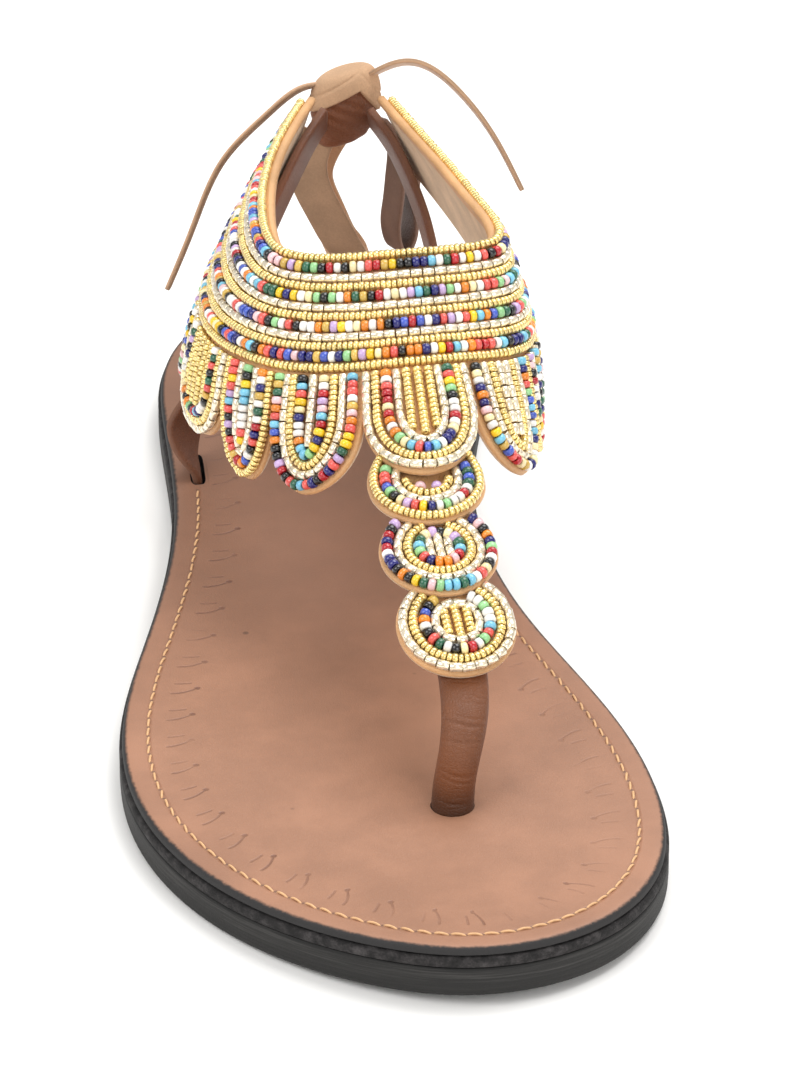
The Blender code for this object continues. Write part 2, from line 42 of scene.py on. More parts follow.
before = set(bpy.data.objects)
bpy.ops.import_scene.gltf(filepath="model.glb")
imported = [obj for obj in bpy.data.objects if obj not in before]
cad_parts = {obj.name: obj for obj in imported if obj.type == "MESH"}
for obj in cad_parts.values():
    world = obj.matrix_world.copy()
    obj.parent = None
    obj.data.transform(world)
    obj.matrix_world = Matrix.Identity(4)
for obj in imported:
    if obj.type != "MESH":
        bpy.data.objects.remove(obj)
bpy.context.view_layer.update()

MM = 0.001

# Sole: heights above the ground, the shape of its outline, its spring and its arch
SOLE_TOP = 9.2
MIDDLE_ACROSS = -2.642
MIDDLE_FORWARD = 126.0
SOLE_LENGTH = 252.0
TOE_TIP_ACROSS = 5.0
OUTSOLE_LIP = 1.1
LEATHER_REACH = 0.4
TOE_SPRING = 1.6
SPRING_START = 0.86
ARCH_LIFT = 0.9
ARCH_FROM = 0.36
ARCH_TO = 0.56
SOLE_SECTIONS = (
    # forward, inner half width, outer half width
    (4.5, 19.5, 15.6), (25.0, 31.2, 29.8), (55.0, 28.6, 32.9), (98.0, 23.2, 33.4), (140.0, 27.7, 40.8),
    (174.0, 37.4, 47.2), (204.0, 42.2, 44.6), (231.0, 37.7, 29.9), (246.0, 25.6, 12.0),
)
RUBBER_LEVELS = (
    # height, lip, share of the arch
    (0.0, -0.9, 1), (0.25, -0.3, 1), (0.9, 0.0, 1), (2.2, 0.06, 0.6), (3.8, 0.04, 0.2), (4.9, 0.0, 0),
    (5.4, -0.06, 0), (5.55, -0.3, 0),
)
EDGE_LEVELS = (
    (5.58, -0.3, 0), (5.72, -0.04, 0), (6.2, 0.02, 0), (6.8, 0.02, 0), (7.2, -0.12, 0), (7.45, -0.5, 0),
)
FOOTBED_EDGE = (
    # height from the top, lip, inset
    (-1.6, -0.2, 0.0), (-1.35, 0.2, 0.0), (-0.85, 0.12, 0.0), (-0.4, -0.05, 0.0), (-0.12, -0.4, 0.4),
    (0.0, -0.95, 0.95),
)
FOOTBED_INSETS = (2.0, 3.2, 4.4, 5.6, 7.0, 8.5, 10.0, 11.5, 13.0, 14.5)
FOOTBED_COLUMNS = 12
PLAIN_INSET = 20.0  # inset of leather that is far from the edge
SHARP_DEGREES = 40
TOE_HOLE = (205.8, 7.0, 3.8)  # forward, across, radius
SLOT_FORWARD = 77.0
SLOTS_ACROSS = (-28.3, 20.2)
SLOT_LENGTH = 12.6
SLOT_WIDTH = 2.9
SLOT_CLEAR = 4.0  # no stitch comes nearer than this to a slot
CUT_FROM_TO = (-5.0, 5.0)
STITCH_LEAN = 8.0
STITCH_SHARE = 0.46
STITCH_RISE = 0.30
STITCH_SINK = 0.12
STAMP_LONG = 4.4
STAMP_DOT = 0.7
STAMP_STROKES = (
    # place along the edge, bend, ease in and out along the stroke, depth
    (-1.6, 2.3, (-0.1, 0.05), (1.0, 0.95), 0.8),
    (2.0, 1.0, (0.0, 0.1), (0.78, 0.68), 0.55),
)
FAINT_FROM_TO = (0.018, 0.034)  # the stamped marks fade across this part of the inner side, metres
SHADE_FROM_TO = (-0.03, 0.016)  # painted shade: the footbed is darker from here to here and on to the heel, standing in for the collar's shadow, metres

# Collar and disc strap: depths are below the bead tops
WALL = 3.3
LEATHER_TOP = 2.05
BINDING_LEVEL = 0.1
BINDING_THICK = 0.3
EDGE_ROUND = 0.35
COLLAR_END = 6.0
COLLAR = (
    # rim forward, across, up   hem forward, across, up   tip forward, across, up
    (41.8, -4.6, 63.5, 42.2, -9.1, 49.5, 41.6, -11.4, 36.0),
    (60.2, -10.3, 64.3, 65.8, -19.7, 47.0, 64.6, -23.5, 28.5),
    (78.8, -14.4, 65.0, 87.4, -27.1, 46.0, 87.3, -30.9, 27.0),
    (96.5, -16.4, 65.5, 108.6, -29.1, 46.5, 108.5, -32.6, 27.0),
    (111.8, -15.4, 64.9, 127.0, -22.9, 48.3, 132.5, -25.6, 27.5),
    (117.5, -6.6, 64.7, 137.5, -10.2, 50.2, 149.8, -13.8, 32.3),
    (119.4, 6.5, 65.9, 142.2, 7.6, 53.5, 162.4, 8.0, 43.2),
    (118.4, 19.2, 66.0, 137.2, 23.5, 51.2, 147.6, 28.0, 33.0),
    (113.2, 26.6, 66.0, 127.6, 31.3, 48.5, 132.0, 32.2, 28.5),
    (97.8, 24.8, 65.5, 110.6, 32.5, 46.5, 111.1, 33.2, 27.0),
    (79.9, 21.3, 65.0, 89.2, 30.0, 46.0, 89.2, 31.8, 27.0),
    (61.1, 17.3, 64.3, 67.2, 26.2, 47.0, 66.2, 29.4, 28.5),
    (42.4, 13.7, 63.5, 43.1, 19.6, 49.5, 42.6, 22.4, 36.0),
)
PETAL_EDGES = (-4.5, -3.4, -2.28, -1.5, -0.56, 0.56, 1.52, 2.5, 3.5, 4.5)
MIDDLE_PETAL = len(PETAL_EDGES) // 2 - 1
NOTCH_LEVEL = 1.38
TAIL_LEVEL = 1.1
STRAP_LINE = (
    (198.1, 11.0, 22.0), (183.4, 9.2, 29.8), (169.3, 7.8, 36.5), (158.6, 7.5, 41.3), (150.1, 7.5, 46.0),
    (143.6, 7.7, 50.9), (136.1, 7.8, 55.4),
)
DISC_RADIUS = 10.8
DISC_PITCH = 15.5
DISC_LIFT = 1.7
DISC_OVERLAP = 0.3
PLATE_RADIUS = 10.45
STRAP_CROWN = 0.7
NECK_START = 36.0
NECK_DEPTH = 2.7
NECK_HALF = (7.0, 0.6)  # half width and half thickness
RIM_LEVEL = 0.03
RIM_DEPTH = 2.75
RIM_HALF = (0.8, 0.7)

# Toe post, heel straps and tie
ROUND = 2.2  # power of a nearly round section
TOE_POST = (
    # forward, across, up, half width, half thickness
    (205.8, 7.0, -1.25, 3.7, 3.6), (205.6, 7.3, 4.0, 3.6, 3.5), (204.8, 8.2, 9.0, 3.6, 3.1),
    (202.0, 9.3, 13.2, 3.9, 2.4), (197.1, 10.0, 16.6, 4.2, 1.8), (189.2, 9.9, 20.9, 4.3, 1.5),
)
POST_FACING = (1.0, 0.0, 0.35)
POST_CREASES = 26
CREASE_DEEP = 0.16
CREASE_WIDE = 0.22
CREASE_WAVE = 0.35
# painted shade: the toe post darkens over this length of its run, up from the toe hole
POST_SHADE_LENGTH = 9.0
HEEL_TIE_OUTER = (
    (77.0, -28.3, -1.25), (76.9, -29.2, 3.0), (76.2, -30.2, 8.0), (74.8, -27.6, 14.5), (72.0, -23.0, 23.0),
    (66.6, -18.7, 31.0), (58.5, -12.9, 41.0), (48.7, -6.3, 50.0), (43.4, -3.0, 53.4), (38.6, 0.4, 56.3),
)
HEEL_TIE_INNER = (
    (77.0, 20.2, -1.25), (76.9, 20.5, 3.0), (75.8, 20.8, 8.0), (72.6, 21.0, 14.5), (67.0, 21.0, 23.0),
    (61.4, 20.4, 31.0), (54.6, 18.8, 40.0), (48.6, 15.8, 48.0), (43.7, 13.2, 52.7), (38.6, 10.0, 56.2),
)
OUTER_FACING = (-0.38, -0.89, 0.22)
INNER_FACING = (-0.25, 0.9, 0.36)
TIE_TURNS = (
    # run from the slot, then the strap's outer face: forward, outwards, up
    (0.0, 0.0, 1.0, 0.0), (2.5, 0.0, 1.0, 0.0), (6.0, -0.35, 0.94, 0.0), (11.0, -0.74, 0.67, 0.0),
    (18.0, -0.5, 0.86, 0.1),
)
TURN_END = 28.0
STRAP_NARROW = 0.3
NARROW_LENGTH = 14.0
KNOT_CENTRE = (33.5, 5.0, 57.0)
KNOT_HALF = (4.2, 7.2, 8.4)
KNOT_CORE = (0.9, 0.92, 0.93)
KNOT_LEAN = 0.3
KNOT_FOLD = (2.6, 0.55, 1.4, 4.3)  # the fold's ridge across, its outer and inner slope, its height
KNOT_LEATHER = 0.75
KNOT_WRINKLE = 0.12
FOLD_EDGE = 0.4
FOLD_CREASE = 0.22
FOLD_CREASE_UP = 3.4
TIE_END_OUTER = (
    (32.0, 1.4, 61.0), (32.9, -2.6, 60.9), (35.5, -10.1, 56.8), (37.1, -19.4, 47.7), (38.8, -25.6, 34.8),
    (39.8, -31.1, 21.8),
)
TIE_END_INNER = (
    (32.2, 7.4, 60.6), (33.2, 10.7, 63.2), (35.3, 18.0, 66.3), (37.4, 27.9, 59.9), (39.1, 34.9, 50.0),
    (40.3, 39.6, 40.4),
)
END_BROAD = (0.878, -0.095, 0.474)
END_TAPER = 0.55
END_SQUEEZE = 0.6
SQUEEZE_SHARE = 0.15
TIE_LOOP_OUTER = (
    (32.7, -0.4, 50.8), (33.0, -2.2, 46.0), (33.2, -2.0, 41.0), (33.3, 0.2, 35.4), (33.2, 2.6, 30.4),
    (32.8, 4.9, 26.0), (31.2, 6.2, 23.4), (29.4, 5.2, 24.6), (28.6, 2.8, 29.6), (28.3, 0.6, 35.0),
    (28.3, -0.8, 40.4), (29.0, 0.6, 46.0), (31.4, 3.4, 52.0),
)
TIE_LOOP_INNER = (
    (31.8, 12.3, 53.0), (32.3, 15.4, 47.4), (32.5, 15.4, 41.0), (32.5, 14.7, 34.0), (32.4, 14.5, 28.0),
    (31.9, 16.0, 24.6), (31.4, 17.6, 27.0), (31.2, 17.9, 33.0), (31.2, 18.4, 40.0), (31.0, 18.0, 46.6),
    (31.8, 11.4, 53.0),
)
OUTER_LOOP_BROAD = (0.35, 0.94, 0.0)
INNER_LOOP_BROAD = (0.93, 0.36, 0.1)

# Bead rows: G small gold, M mixed colours, S short silver tubes
BEAD_KINDS = {"G": "gold", "M": "mixed", "S": "silver"}
BEAD_SHAPES = {
    # sides round the hole, outline as (along the hole, out from the hole)
    "G": (7, ((-0.98, 0.76), (-0.52, 0.98), (0.52, 0.98), (0.98, 0.76), (0.0, 0.3))),
    "M": (9, ((-0.97, 0.64), (-0.66, 0.93), (0.0, 1.0), (0.66, 0.93), (0.97, 0.64), (0.0, 0.3))),
    "S": (8, ((-0.98, 0.78), (-0.9, 0.97), (0.9, 0.97), (0.98, 0.78), (0.0, 0.4))),
}
BEAD_SINK = 0.08
BEAD_REACH = 1.0
BEAD_TILT = 0.05
BEAD_LIFT = 0.05
SIZE_SPREAD = 0.04
LENGTH_SPREAD = 0.05
BAND_ROWS = "GMSGMSGMSGMG"
BAND_END = 5.93
BAND_MARGIN = 0.15
HEM_MARGIN = 0.1
BAND_DRAW = 0.8
ROW_CROWD = 0.42
PETAL_RINGS = {0: "SGMS", 1: "MSGM", 2: "GMSG", 3: "SGM", 4: "MSGM"}
PETAL_FILL = {0: "G", 1: "S", 2: "M", 3: "G", 4: "S"}
PETAL_MARGIN = 0.3
PETAL_START = 0.6
PETAL_BROAD = 1.28
PETAL_CLEAR = 0.7
FILL_SPREAD = 1.25
LEAST_ROOM = 0.25
LEAST_COLUMN = 4.0
DISC_RINGS = ("SGMS", "MSGM", "GMSG")
DISC_FILL = ("G", "S", "M")
DISC_MARGIN = 0.6
MIXED_COLOURS = (
    # share, red, green, blue as seen on a screen
    (0.17, 246, 243, 238), (0.05, 251, 232, 178), (0.05, 240, 196, 200), (0.05, 203, 172, 218),
    (0.09, 233, 92, 84), (0.05, 186, 34, 44), (0.11, 34, 34, 112), (0.07, 68, 92, 190), (0.10, 20, 19, 22),
    (0.07, 247, 203, 36), (0.06, 239, 138, 38), (0.06, 150, 206, 142), (0.04, 42, 98, 72),
    (0.07, 122, 196, 226), (0.05, 214, 176, 84),
)

CAMERA_PLACE = (-0.06877, -0.73994, 0.41917)
CAMERA_AIM = (0.0923, 0.87793, -0.47447)
FLOOR_UP = -0.0002
LIGHTS = (
    # name, share of the key light's power, size, place, point that it faces
    ("key_light", 1.0, 0.9, (0.34, 0.3, 1.1), (0.0, -0.02, 0.03)),
    ("left_light", 0.45, 0.7, (-0.7, -0.35, 0.8), (0.0, 0.0, 0.04)),
    ("front_light", 0.35, 0.7, (0.4, -1.0, 0.5), (0.0, -0.02, 0.05)),
)


def spline(knots, values, at):
    """Natural cubic spline through the values at the knots, read at each place in at."""
    knots, values, at = (np.asarray(a, float) for a in (knots, values, at))
    step = np.diff(knots)
    count = len(knots)
    left = np.eye(count)
    right = np.zeros_like(values)
    for i in range(1, count - 1):
        left[i, i - 1:i + 2] = step[i - 1], 2 * (step[i - 1] + step[i]), step[i]
        right[i] = 6 * ((values[i + 1] - values[i]) / step[i] - (values[i] - values[i - 1]) / step[i - 1])
    bend = np.linalg.solve(left, right)
    i = np.clip(np.searchsorted(knots, at) - 1, 0, count - 2)
    shape = at.shape + (1,) * (values.ndim - 1)
    width = step[i].reshape(shape)
    b = (at - knots[i]).reshape(shape) / width
    a = 1 - b
    bent = ((a ** 3 - a) * bend[i] + (b ** 3 - b) * bend[i + 1]) * width ** 2 / 6
    return a * values[i] + b * values[i + 1] + bent


def run_of(points):
    """Length along a line of points, from its first point to each one."""
    return np.concatenate([[0.0], np.cumsum(np.linalg.norm(np.diff(points[:, :3], axis=0), axis=1))])


def read(at, run, table):
    """The columns of a table, read between its rows at each place in at."""
    return np.stack([np.interp(at, run, column) for column in table.T], axis=1)


def smooth_path(rows, count):
    """Evenly spaced points on a smooth curve through table rows."""
    rows = np.asarray(rows, float)
    knots = run_of(rows)
    return spline(knots, rows, np.linspace(0.0, knots[-1], count))


def smoothstep(value):
    """Ease from 0 to 1."""
    value = np.clip(value, 0.0, 1.0)
    return value * value * (3 - 2 * value)


def unit(vectors):
    """Vectors made one long."""
    return vectors / np.maximum(np.linalg.norm(vectors, axis=-1, keepdims=True), 1e-12)


def square_to(axis, vectors):
    """Vectors turned square to an axis and made one long."""
    return unit(vectors - np.sum(vectors * axis, axis=1, keepdims=True) * axis)


def signed_power(value, power):
    """A power of the size of a value, with the value's sign."""
    return np.sign(value) * np.abs(value) ** power


def closed(loop):
    """A loop with its first point again at its end."""
    return np.vstack([loop, loop[:1]])


def place(points):
    """(forward, across, up) in millimetres to the part's frame in metres."""
    points = np.asarray(points, float)
    return np.stack([points[..., 1] - MIDDLE_ACROSS, MIDDLE_FORWARD - points[..., 0],
                     points[..., 2] + SOLE_TOP], axis=-1) * MM


def linear(red, green, blue):
    """A screen colour from 0 to 255 as linear light."""
    value = np.array((red, green, blue)) / 255
    return tuple(np.where(value <= 0.04045, value / 12.92, ((value + 0.055) / 1.055) ** 2.4))


def sole_loop(stations):
    """Footbed outline as (forward, across): a closed spline through the section table, cut at cosine-spaced
    stations so that point i of the inner side faces point -i of the outer side."""
    table = np.asarray(SOLE_SECTIONS)
    ring = np.vstack([[(0.0, 0.0)], table[:, [0, 1]], [(SOLE_LENGTH, TOE_TIP_ACROSS)],
                      table[::-1, [0, 2]] * (1, -1)])
    size = len(ring)
    wrapped = np.vstack([ring, ring, ring])
    knots = run_of(wrapped)
    dense = spline(knots, wrapped, np.linspace(knots[size], knots[2 * size], 8000, endpoint=False))
    dense = np.roll(dense, -np.argmin(dense[:, 0]), axis=0)
    toe = np.argmax(dense[:, 0])
    dense[:, 0] = (dense[:, 0] - dense[0, 0]) * SOLE_LENGTH / (dense[toe, 0] - dense[0, 0])
    share = np.arange(1, stations) / stations
    at = SOLE_LENGTH / 2 * (1 - np.cos(math.pi * share))
    side_in = np.interp(at, dense[:toe + 1, 0], dense[:toe + 1, 1])
    side_out = np.interp(at, dense[toe:, 0][::-1], dense[toe:, 1][::-1])
    return np.vstack([[dense[0]], np.c_[at, side_in], [dense[toe]], np.c_[at, side_out][::-1]])


def grown(loop, distance):
    """A closed outline moved outwards by a distance along its normals."""
    along = np.roll(loop, -1, axis=0) - np.roll(loop, 1, axis=0)
    outward = unit(np.c_[-along[:, 1], along[:, 0]])
    if np.sum(outward * (loop - loop.mean(axis=0))) < 0:
        outward = -outward
    return loop + outward * distance


def footbed_loop(stations):
    """The footbed's leather, which reaches a little past the solid's outline."""
    return grown(sole_loop(stations), LEATHER_REACH)


def spring(forward):
    """Rise of the sole: a square curve from the spring's start to the toe tip."""
    start = SPRING_START * SOLE_LENGTH
    return TOE_SPRING * np.clip((forward - start) / (SOLE_LENGTH - start), 0.0, 1.2) ** 2


def arch(forward):
    """Hollow of the lower face: one squared sine bump under the waist."""
    share = (forward / SOLE_LENGTH - ARCH_FROM) / (ARCH_TO - ARCH_FROM)
    return ARCH_LIFT * np.where((share > 0) & (share < 1), np.sin(math.pi * share) ** 2, 0.0)


def layer_ring(loop, up, lip, hollow=0.0):
    """The outline grown by a lip, at its height above the ground plus toe spring and a share of the arch."""
    ring = grown(loop, lip)
    return np.c_[ring, up - SOLE_TOP + spring(ring[:, 0]) + hollow * arch(ring[:, 0])]


def collar_face(row, level):
    """Tops of the collar's beads: splines round the ankle through the table's rim, hem and tip, joined down
    each row by a parabola over level 0 (rim), 1 (hem) and 2 (tip)."""
    knots = np.arange(len(COLLAR)) - len(COLLAR) // 2
    guides = spline(knots, COLLAR, row)
    level = np.asarray(level, float)[..., None]
    return ((1 - level) * (2 - level) / 2 * guides[..., 0:3] + level * (2 - level) * guides[..., 3:6]
            + level * (level - 1) / 2 * guides[..., 6:9])


def collar_out(row, level):
    """Outward direction of the collar: the cross product of its slopes down and round."""
    small = 0.01
    round_ankle = collar_face(row + small, level) - collar_face(row - small, level)
    down = collar_face(row, level + small) - collar_face(row, level - small)
    return unit(np.cross(down, round_ankle))


def petal_list():
    """Number, centre row and half width of each petal."""
    pairs = zip(PETAL_EDGES[:-1], PETAL_EDGES[1:])
    return [(abs(i - MIDDLE_PETAL), (a + b) / 2, (b - a) / 2) for i, (a, b) in enumerate(pairs)]


def petal_low(share):
    """Level of a petal's edge: half an ellipse from notch to notch, over its share of the half width."""
    return NOTCH_LEVEL + (2 - NOTCH_LEVEL) * np.sqrt(np.maximum(0.0, 1 - share ** 2))


def strap_frame(t):
    """Middle line of the disc strap at length t, with its directions along, sideways and out."""
    rows = np.asarray(STRAP_LINE)
    knots = run_of(rows)
    middle = spline(knots, rows, t)
    along = unit(spline(knots, rows, t + 0.1) - spline(knots, rows, t - 0.1))
    side = unit(np.cross(along, (0.0, 0.0, 1.0)))
    out = np.cross(side, along)
    return middle, along, side, out * np.sign(out[..., 2:])


def disc_middle(number):
    """Length along the strap of a disc's middle."""
    return DISC_RADIUS + number * DISC_PITCH


def disc_point(number, t, x, depth):
    """A place on a disc at length t and x to the side, depth above the bead tops. Each disc but the lowest
    is lifted at its lower end, so that it lies on the next one."""
    middle, _, side, out = strap_frame(t)
    lift = 0.0
    if number:
        lift = DISC_LIFT * (1 - smoothstep((t - disc_middle(number) + DISC_RADIUS) / (1.3 * DISC_RADIUS)))
    high = depth + lift - STRAP_CROWN * (x / DISC_RADIUS) ** 2
    return middle + x[..., None] * side + high[..., None] * out, out


def grid_quads(rows, columns, close_rows=False, close_columns=False):
    """Corner numbers of the quads of a grid of points."""
    r = np.arange(rows if close_rows else rows - 1)
    c = np.arange(columns if close_columns else columns - 1)
    r, c = np.meshgrid(r, c, indexing="ij")
    r2, c2 = (r + 1) % rows, (c + 1) % columns
    quads = np.stack([r * columns + c, r * columns + c2, r2 * columns + c2, r2 * columns + c], axis=-1)
    return quads.reshape(-1, 4)


def tube_faces(rings, around):
    """Faces of a tube of rings, closed by fans to two points that follow the rings' points."""
    last = rings * around
    i = np.arange(around)
    j = (i + 1) % around
    fans = np.vstack([np.stack([j, i, np.full(around, last)], axis=1),
                      np.stack([i + last - around, j + last - around, np.full(around, last + 1)], axis=1)])
    return [grid_quads(rings, around, close_columns=True), fans]


def barrel_faces(rings, around):
    """Faces of a tube of rings, closed by one flat face at each end."""
    i = np.arange(around)
    return [grid_quads(rings, around, close_columns=True), np.array([i[::-1], (rings - 1) * around + i])]


def repeated(faces, count, step):
    """The faces of one shape for count like shapes of step points each."""
    return (faces[None] + (np.arange(count) * step)[:, None, None]).reshape(-1, faces.shape[1])


def put_mesh(name, points, faces, material, values=None, colours=None):
    """An object at the origin from placed points and lists of equal-sided faces, turned outwards by the
    sign of its volume, with named values for each point."""
    points = np.asarray(points, float)
    middle = points.mean(axis=0)
    volume = 0.0
    for face in faces:
        a = points[face[:, 0]] - middle
        for k in range(1, face.shape[1] - 1):
            volume += np.sum(np.cross(points[face[:, k]] - middle, points[face[:, k + 1]] - middle) * a)
    if volume < 0:
        faces = [face[:, ::-1] for face in faces]
    corners = np.concatenate([face.ravel() for face in faces])
    sizes = np.concatenate([np.full(len(face), face.shape[1]) for face in faces])
    starts = np.concatenate([[0], np.cumsum(sizes)[:-1]])
    mesh = bpy.data.meshes.new(name)
    mesh.vertices.add(len(points))
    mesh.vertices.foreach_set("co", points.astype(np.float32).ravel())
    mesh.loops.add(len(corners))
    mesh.loops.foreach_set("vertex_index", corners.astype(np.int32))
    mesh.polygons.add(len(sizes))
    mesh.polygons.foreach_set("loop_start", starts.astype(np.int32))
    mesh.polygons.foreach_set("use_smooth", np.ones(len(sizes), bool))
    for key, value in (values or {}).items():
        data = mesh.attributes.new(key, 'FLOAT', 'POINT').data
        data.foreach_set("value", np.asarray(value, np.float32).ravel())
    if colours is not None:
        rgba = np.c_[colours, np.ones(len(colours))].astype(np.float32)
        mesh.attributes.new("colour", 'FLOAT_COLOR', 'POINT').data.foreach_set("color", rgba.ravel())
    mesh.update()
    if mesh.validate():
        raise ValueError(name + " has faulty faces")
    mesh.materials.append(material)
    obj = bpy.data.objects.new(name, mesh)
    bpy.context.scene.collection.objects.link(obj)
    return obj


def settle(obj, slot, *nodes):
    """Make a piece ride with the shoe and stand for its solids. The slot is not used."""
    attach(obj, "root")
    if nodes:
        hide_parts(*nodes)


def sweep(path, face, half_wide, half_thick, around=24, square=5.0):
    """A strap: at each point of the path a rounded oblong, x = cos^(2/n), y = sin^(2/n), its broad side
    turned to the face vectors, closed by a fan at each end. Gives points, faces, run and side."""
    along = unit(np.gradient(path, axis=0))
    wide = unit(np.cross(along, face))
    flat = np.cross(wide, along)
    flat = flat * np.sign(np.sum(flat * face, axis=1, keepdims=True))
    turn = (np.arange(around) + 0.5) * 2 * math.pi / around
    x = signed_power(np.cos(turn), 2 / square)
    y = signed_power(np.sin(turn), 2 / square)
    count = len(path)
    half_wide = np.broadcast_to(half_wide, count)[:, None, None]
    half_thick = np.broadcast_to(half_thick, (count, around))[:, :, None]
    rings = (path[:, None] + x[None, :, None] * wide[:, None] * half_wide
             + y[None, :, None] * flat[:, None] * half_thick)
    points = np.vstack([rings.reshape(-1, 3), path[:1], path[-1:]])
    run = np.append(np.repeat(run_of(path), around), (0.0, run_of(path)[-1]))
    side = np.append(np.tile(y, count), (0.0, 0.0))
    return points, tube_faces(count, around), run, side


def lay_beads(line, out, pitch):
    """Places of beads in a row: evenly along a line of points, with the row's direction and its outside."""
    run = run_of(line)
    count = max(1, int(round(run[-1] / pitch)))
    at = (np.arange(count) + 0.5) * run[-1] / count
    axis = unit(read(at + 0.2, run, line) - read(at - 0.2, run, line))
    return np.hstack([read(at, run, line), axis, square_to(axis, unit(read(at, run, out)))])


class BeadTray:
    """Rows of beads of the three kinds, gathered before they become meshes."""

    def __init__(self, settings):
        self.size = {kind: getattr(settings, name + "_size") / MM for kind, name in BEAD_KINDS.items()}
        self.pitch = {kind: getattr(settings, name + "_length") / MM for kind, name in BEAD_KINDS.items()}
        self.rows = {kind: [] for kind in BEAD_KINDS}

    def depth(self, kind):
        """Height of a bead's middle from the bead tops, when it stands on the leather."""
        return -LEATHER_TOP + self.size[kind] / 2 - BEAD_SINK

    def sew_collar(self, kind, row, level):
        """A row of beads on the collar's face."""
        out = collar_out(row, level)
        line = collar_face(row, level) + out * self.depth(kind)
        self.rows[kind].append(lay_beads(line, out, self.pitch[kind]))

    def sew_disc(self, kind, number, t, x):
        """A row of beads on a disc, left out where the next disc or the middle petal covers them."""
        line, out = disc_point(number, t, x, np.full(len(t), self.depth(kind)))
        self.rows[kind].append(uncovered(lay_beads(line, out, self.pitch[kind]), number))


def band_rows(tray):
    """Rows round the collar: they draw together as the band narrows, down to a least spacing, and then end
    one by one at the last row, which runs along the hem."""
    row = np.linspace(-BAND_END, BAND_END, 1500)
    steps = [collar_face(row, np.full(len(row), level)) for level in np.linspace(0.0, 1.0, 9)]
    width = sum(np.linalg.norm(b - a, axis=1) for a, b in zip(steps[:-1], steps[1:]))
    sizes = np.array([tray.size[kind] for kind in BAND_ROWS])
    stretch = (width.max() - BAND_MARGIN - HEM_MARGIN) / sizes.sum()
    middles = BAND_MARGIN + stretch * (np.cumsum(sizes) - sizes / 2)
    draw = np.clip(width / width.max(), BAND_DRAW, 1.0)
    hem = width - HEM_MARGIN - sizes[-1] / 2
    for number, kind in enumerate(BAND_ROWS):
        middle = middles[number] * draw
        inside = middle < hem - ROW_CROWD * (sizes[number] + sizes[-1])
        if number == len(BAND_ROWS) - 1:
            middle, inside = hem, width > 0
        tray.sew_collar(kind, row[inside], (middle / width)[inside])


def petal_size(centre, half):
    """Half width of a petal below the hem, and its length from hem to tip."""
    sides = collar_face(np.array((centre - half, centre + half)), np.full(2, PETAL_BROAD))
    steps = collar_face(np.full(12, centre), np.linspace(1, 2, 12))
    return np.linalg.norm(sides[1] - sides[0]) / 2, run_of(steps)[-1]


def petal_line(centre, half, wide, long, inset):
    """A bow inside a petal's edge: straight sides down to the notch, then half an ellipse round the tip."""
    share = 1 - inset / wide
    drop = (NOTCH_LEVEL - 1) * long
    side = np.linspace(PETAL_START, drop, 12)
    turn = np.linspace(0, math.pi, 60)[1:-1]
    s = np.concatenate([np.full(12, -share), -share * np.cos(turn), np.full(12, share)])
    t = np.concatenate([side, drop + (long - drop - inset) * np.sin(turn), side[::-1]])
    return centre + s * half, 1 + t / long


def petal_rows(tray):
    """Rings of beads in every petal, from its edge inwards, and short upright rows in the middle."""
    for number, centre, half in petal_list():
        wide, long = petal_size(centre, half)
        inset = PETAL_MARGIN
        for kind in PETAL_RINGS[number]:
            size = tray.size[kind]
            if inset + size > wide:
                break
            tray.sew_collar(kind, *petal_line(centre, half, wide, long, inset + size / 2))
            inset += size
        kind = PETAL_FILL[number]
        size = tray.size[kind]
        room = wide - inset
        drop = (NOTCH_LEVEL - 1) * long
        columns = max(1, int(2 * room / size / FILL_SPREAD + 0.35))
        for k in range(columns):
            s = (k + 0.5) / columns * 2 - 1
            reach = drop + (long - drop - inset - 0.3 * size) * math.sqrt(max(0.0, 1 - s * s * 0.8))
            if room >= LEAST_ROOM and reach >= LEAST_COLUMN:
                level = 1 + np.linspace(PETAL_START, reach, 24) / long
                tray.sew_collar(kind, np.full(24, centre + s * room / wide * half), level)


def disc_rows(tray):
    """Rings of beads on the three discs, and short rows along the strap in the middle of each."""
    turn = np.linspace(0, 2 * math.pi, 160)
    for number, (rings, fill) in enumerate(zip(DISC_RINGS, DISC_FILL)):
        centre = disc_middle(number)
        inset = DISC_MARGIN
        for kind in rings:
            size = tray.size[kind]
            radius = DISC_RADIUS - inset - size / 2
            tray.sew_disc(kind, number, centre + radius * np.cos(turn), radius * np.sin(turn))
            inset += size
        room = DISC_RADIUS - inset
        size = tray.size[fill]
        columns = max(1, int(2 * room / size))
        for k in range(columns):
            x = ((k + 0.5) / columns * 2 - 1) * room
            reach = math.sqrt(max(0.0, room * room - x * x)) + 0.2 * size
            tray.sew_disc(fill, number, centre + np.linspace(-reach, reach, 12), np.full(12, x))


def uncovered(beads, number):
    """The beads of a disc that lie clear of the disc above it or, on the top disc, of the middle petal: away
    from the petal in plan or below its back."""
    if number < len(DISC_RINGS) - 1:
        middle, along, side, _ = strap_frame(np.full(len(beads), disc_middle(number) + DISC_PITCH))
        away = beads[:, :3] - middle
        away = np.hypot(np.sum(away * along, axis=1), np.sum(away * side, axis=1))
        return beads[away > DISC_RADIUS - DISC_OVERLAP]
    _, centre, half = petal_list()[MIDDLE_PETAL]
    share, depth = (grid.ravel() for grid in np.meshgrid(np.linspace(-1, 1, 41), np.linspace(0, 1, 41)))
    row = centre + share * half
    level = 1 + depth * (petal_low(share) - 1)
    back = collar_face(row, level) - collar_out(row, level) * WALL
    away = np.linalg.norm(beads[:, None, :2] - back[None, :, :2], axis=2)
    near = np.argmin(away, axis=1)
    return beads[(away.min(axis=1) > PETAL_CLEAR) | (beads[:, 2] + BEAD_REACH < back[near, 2])]


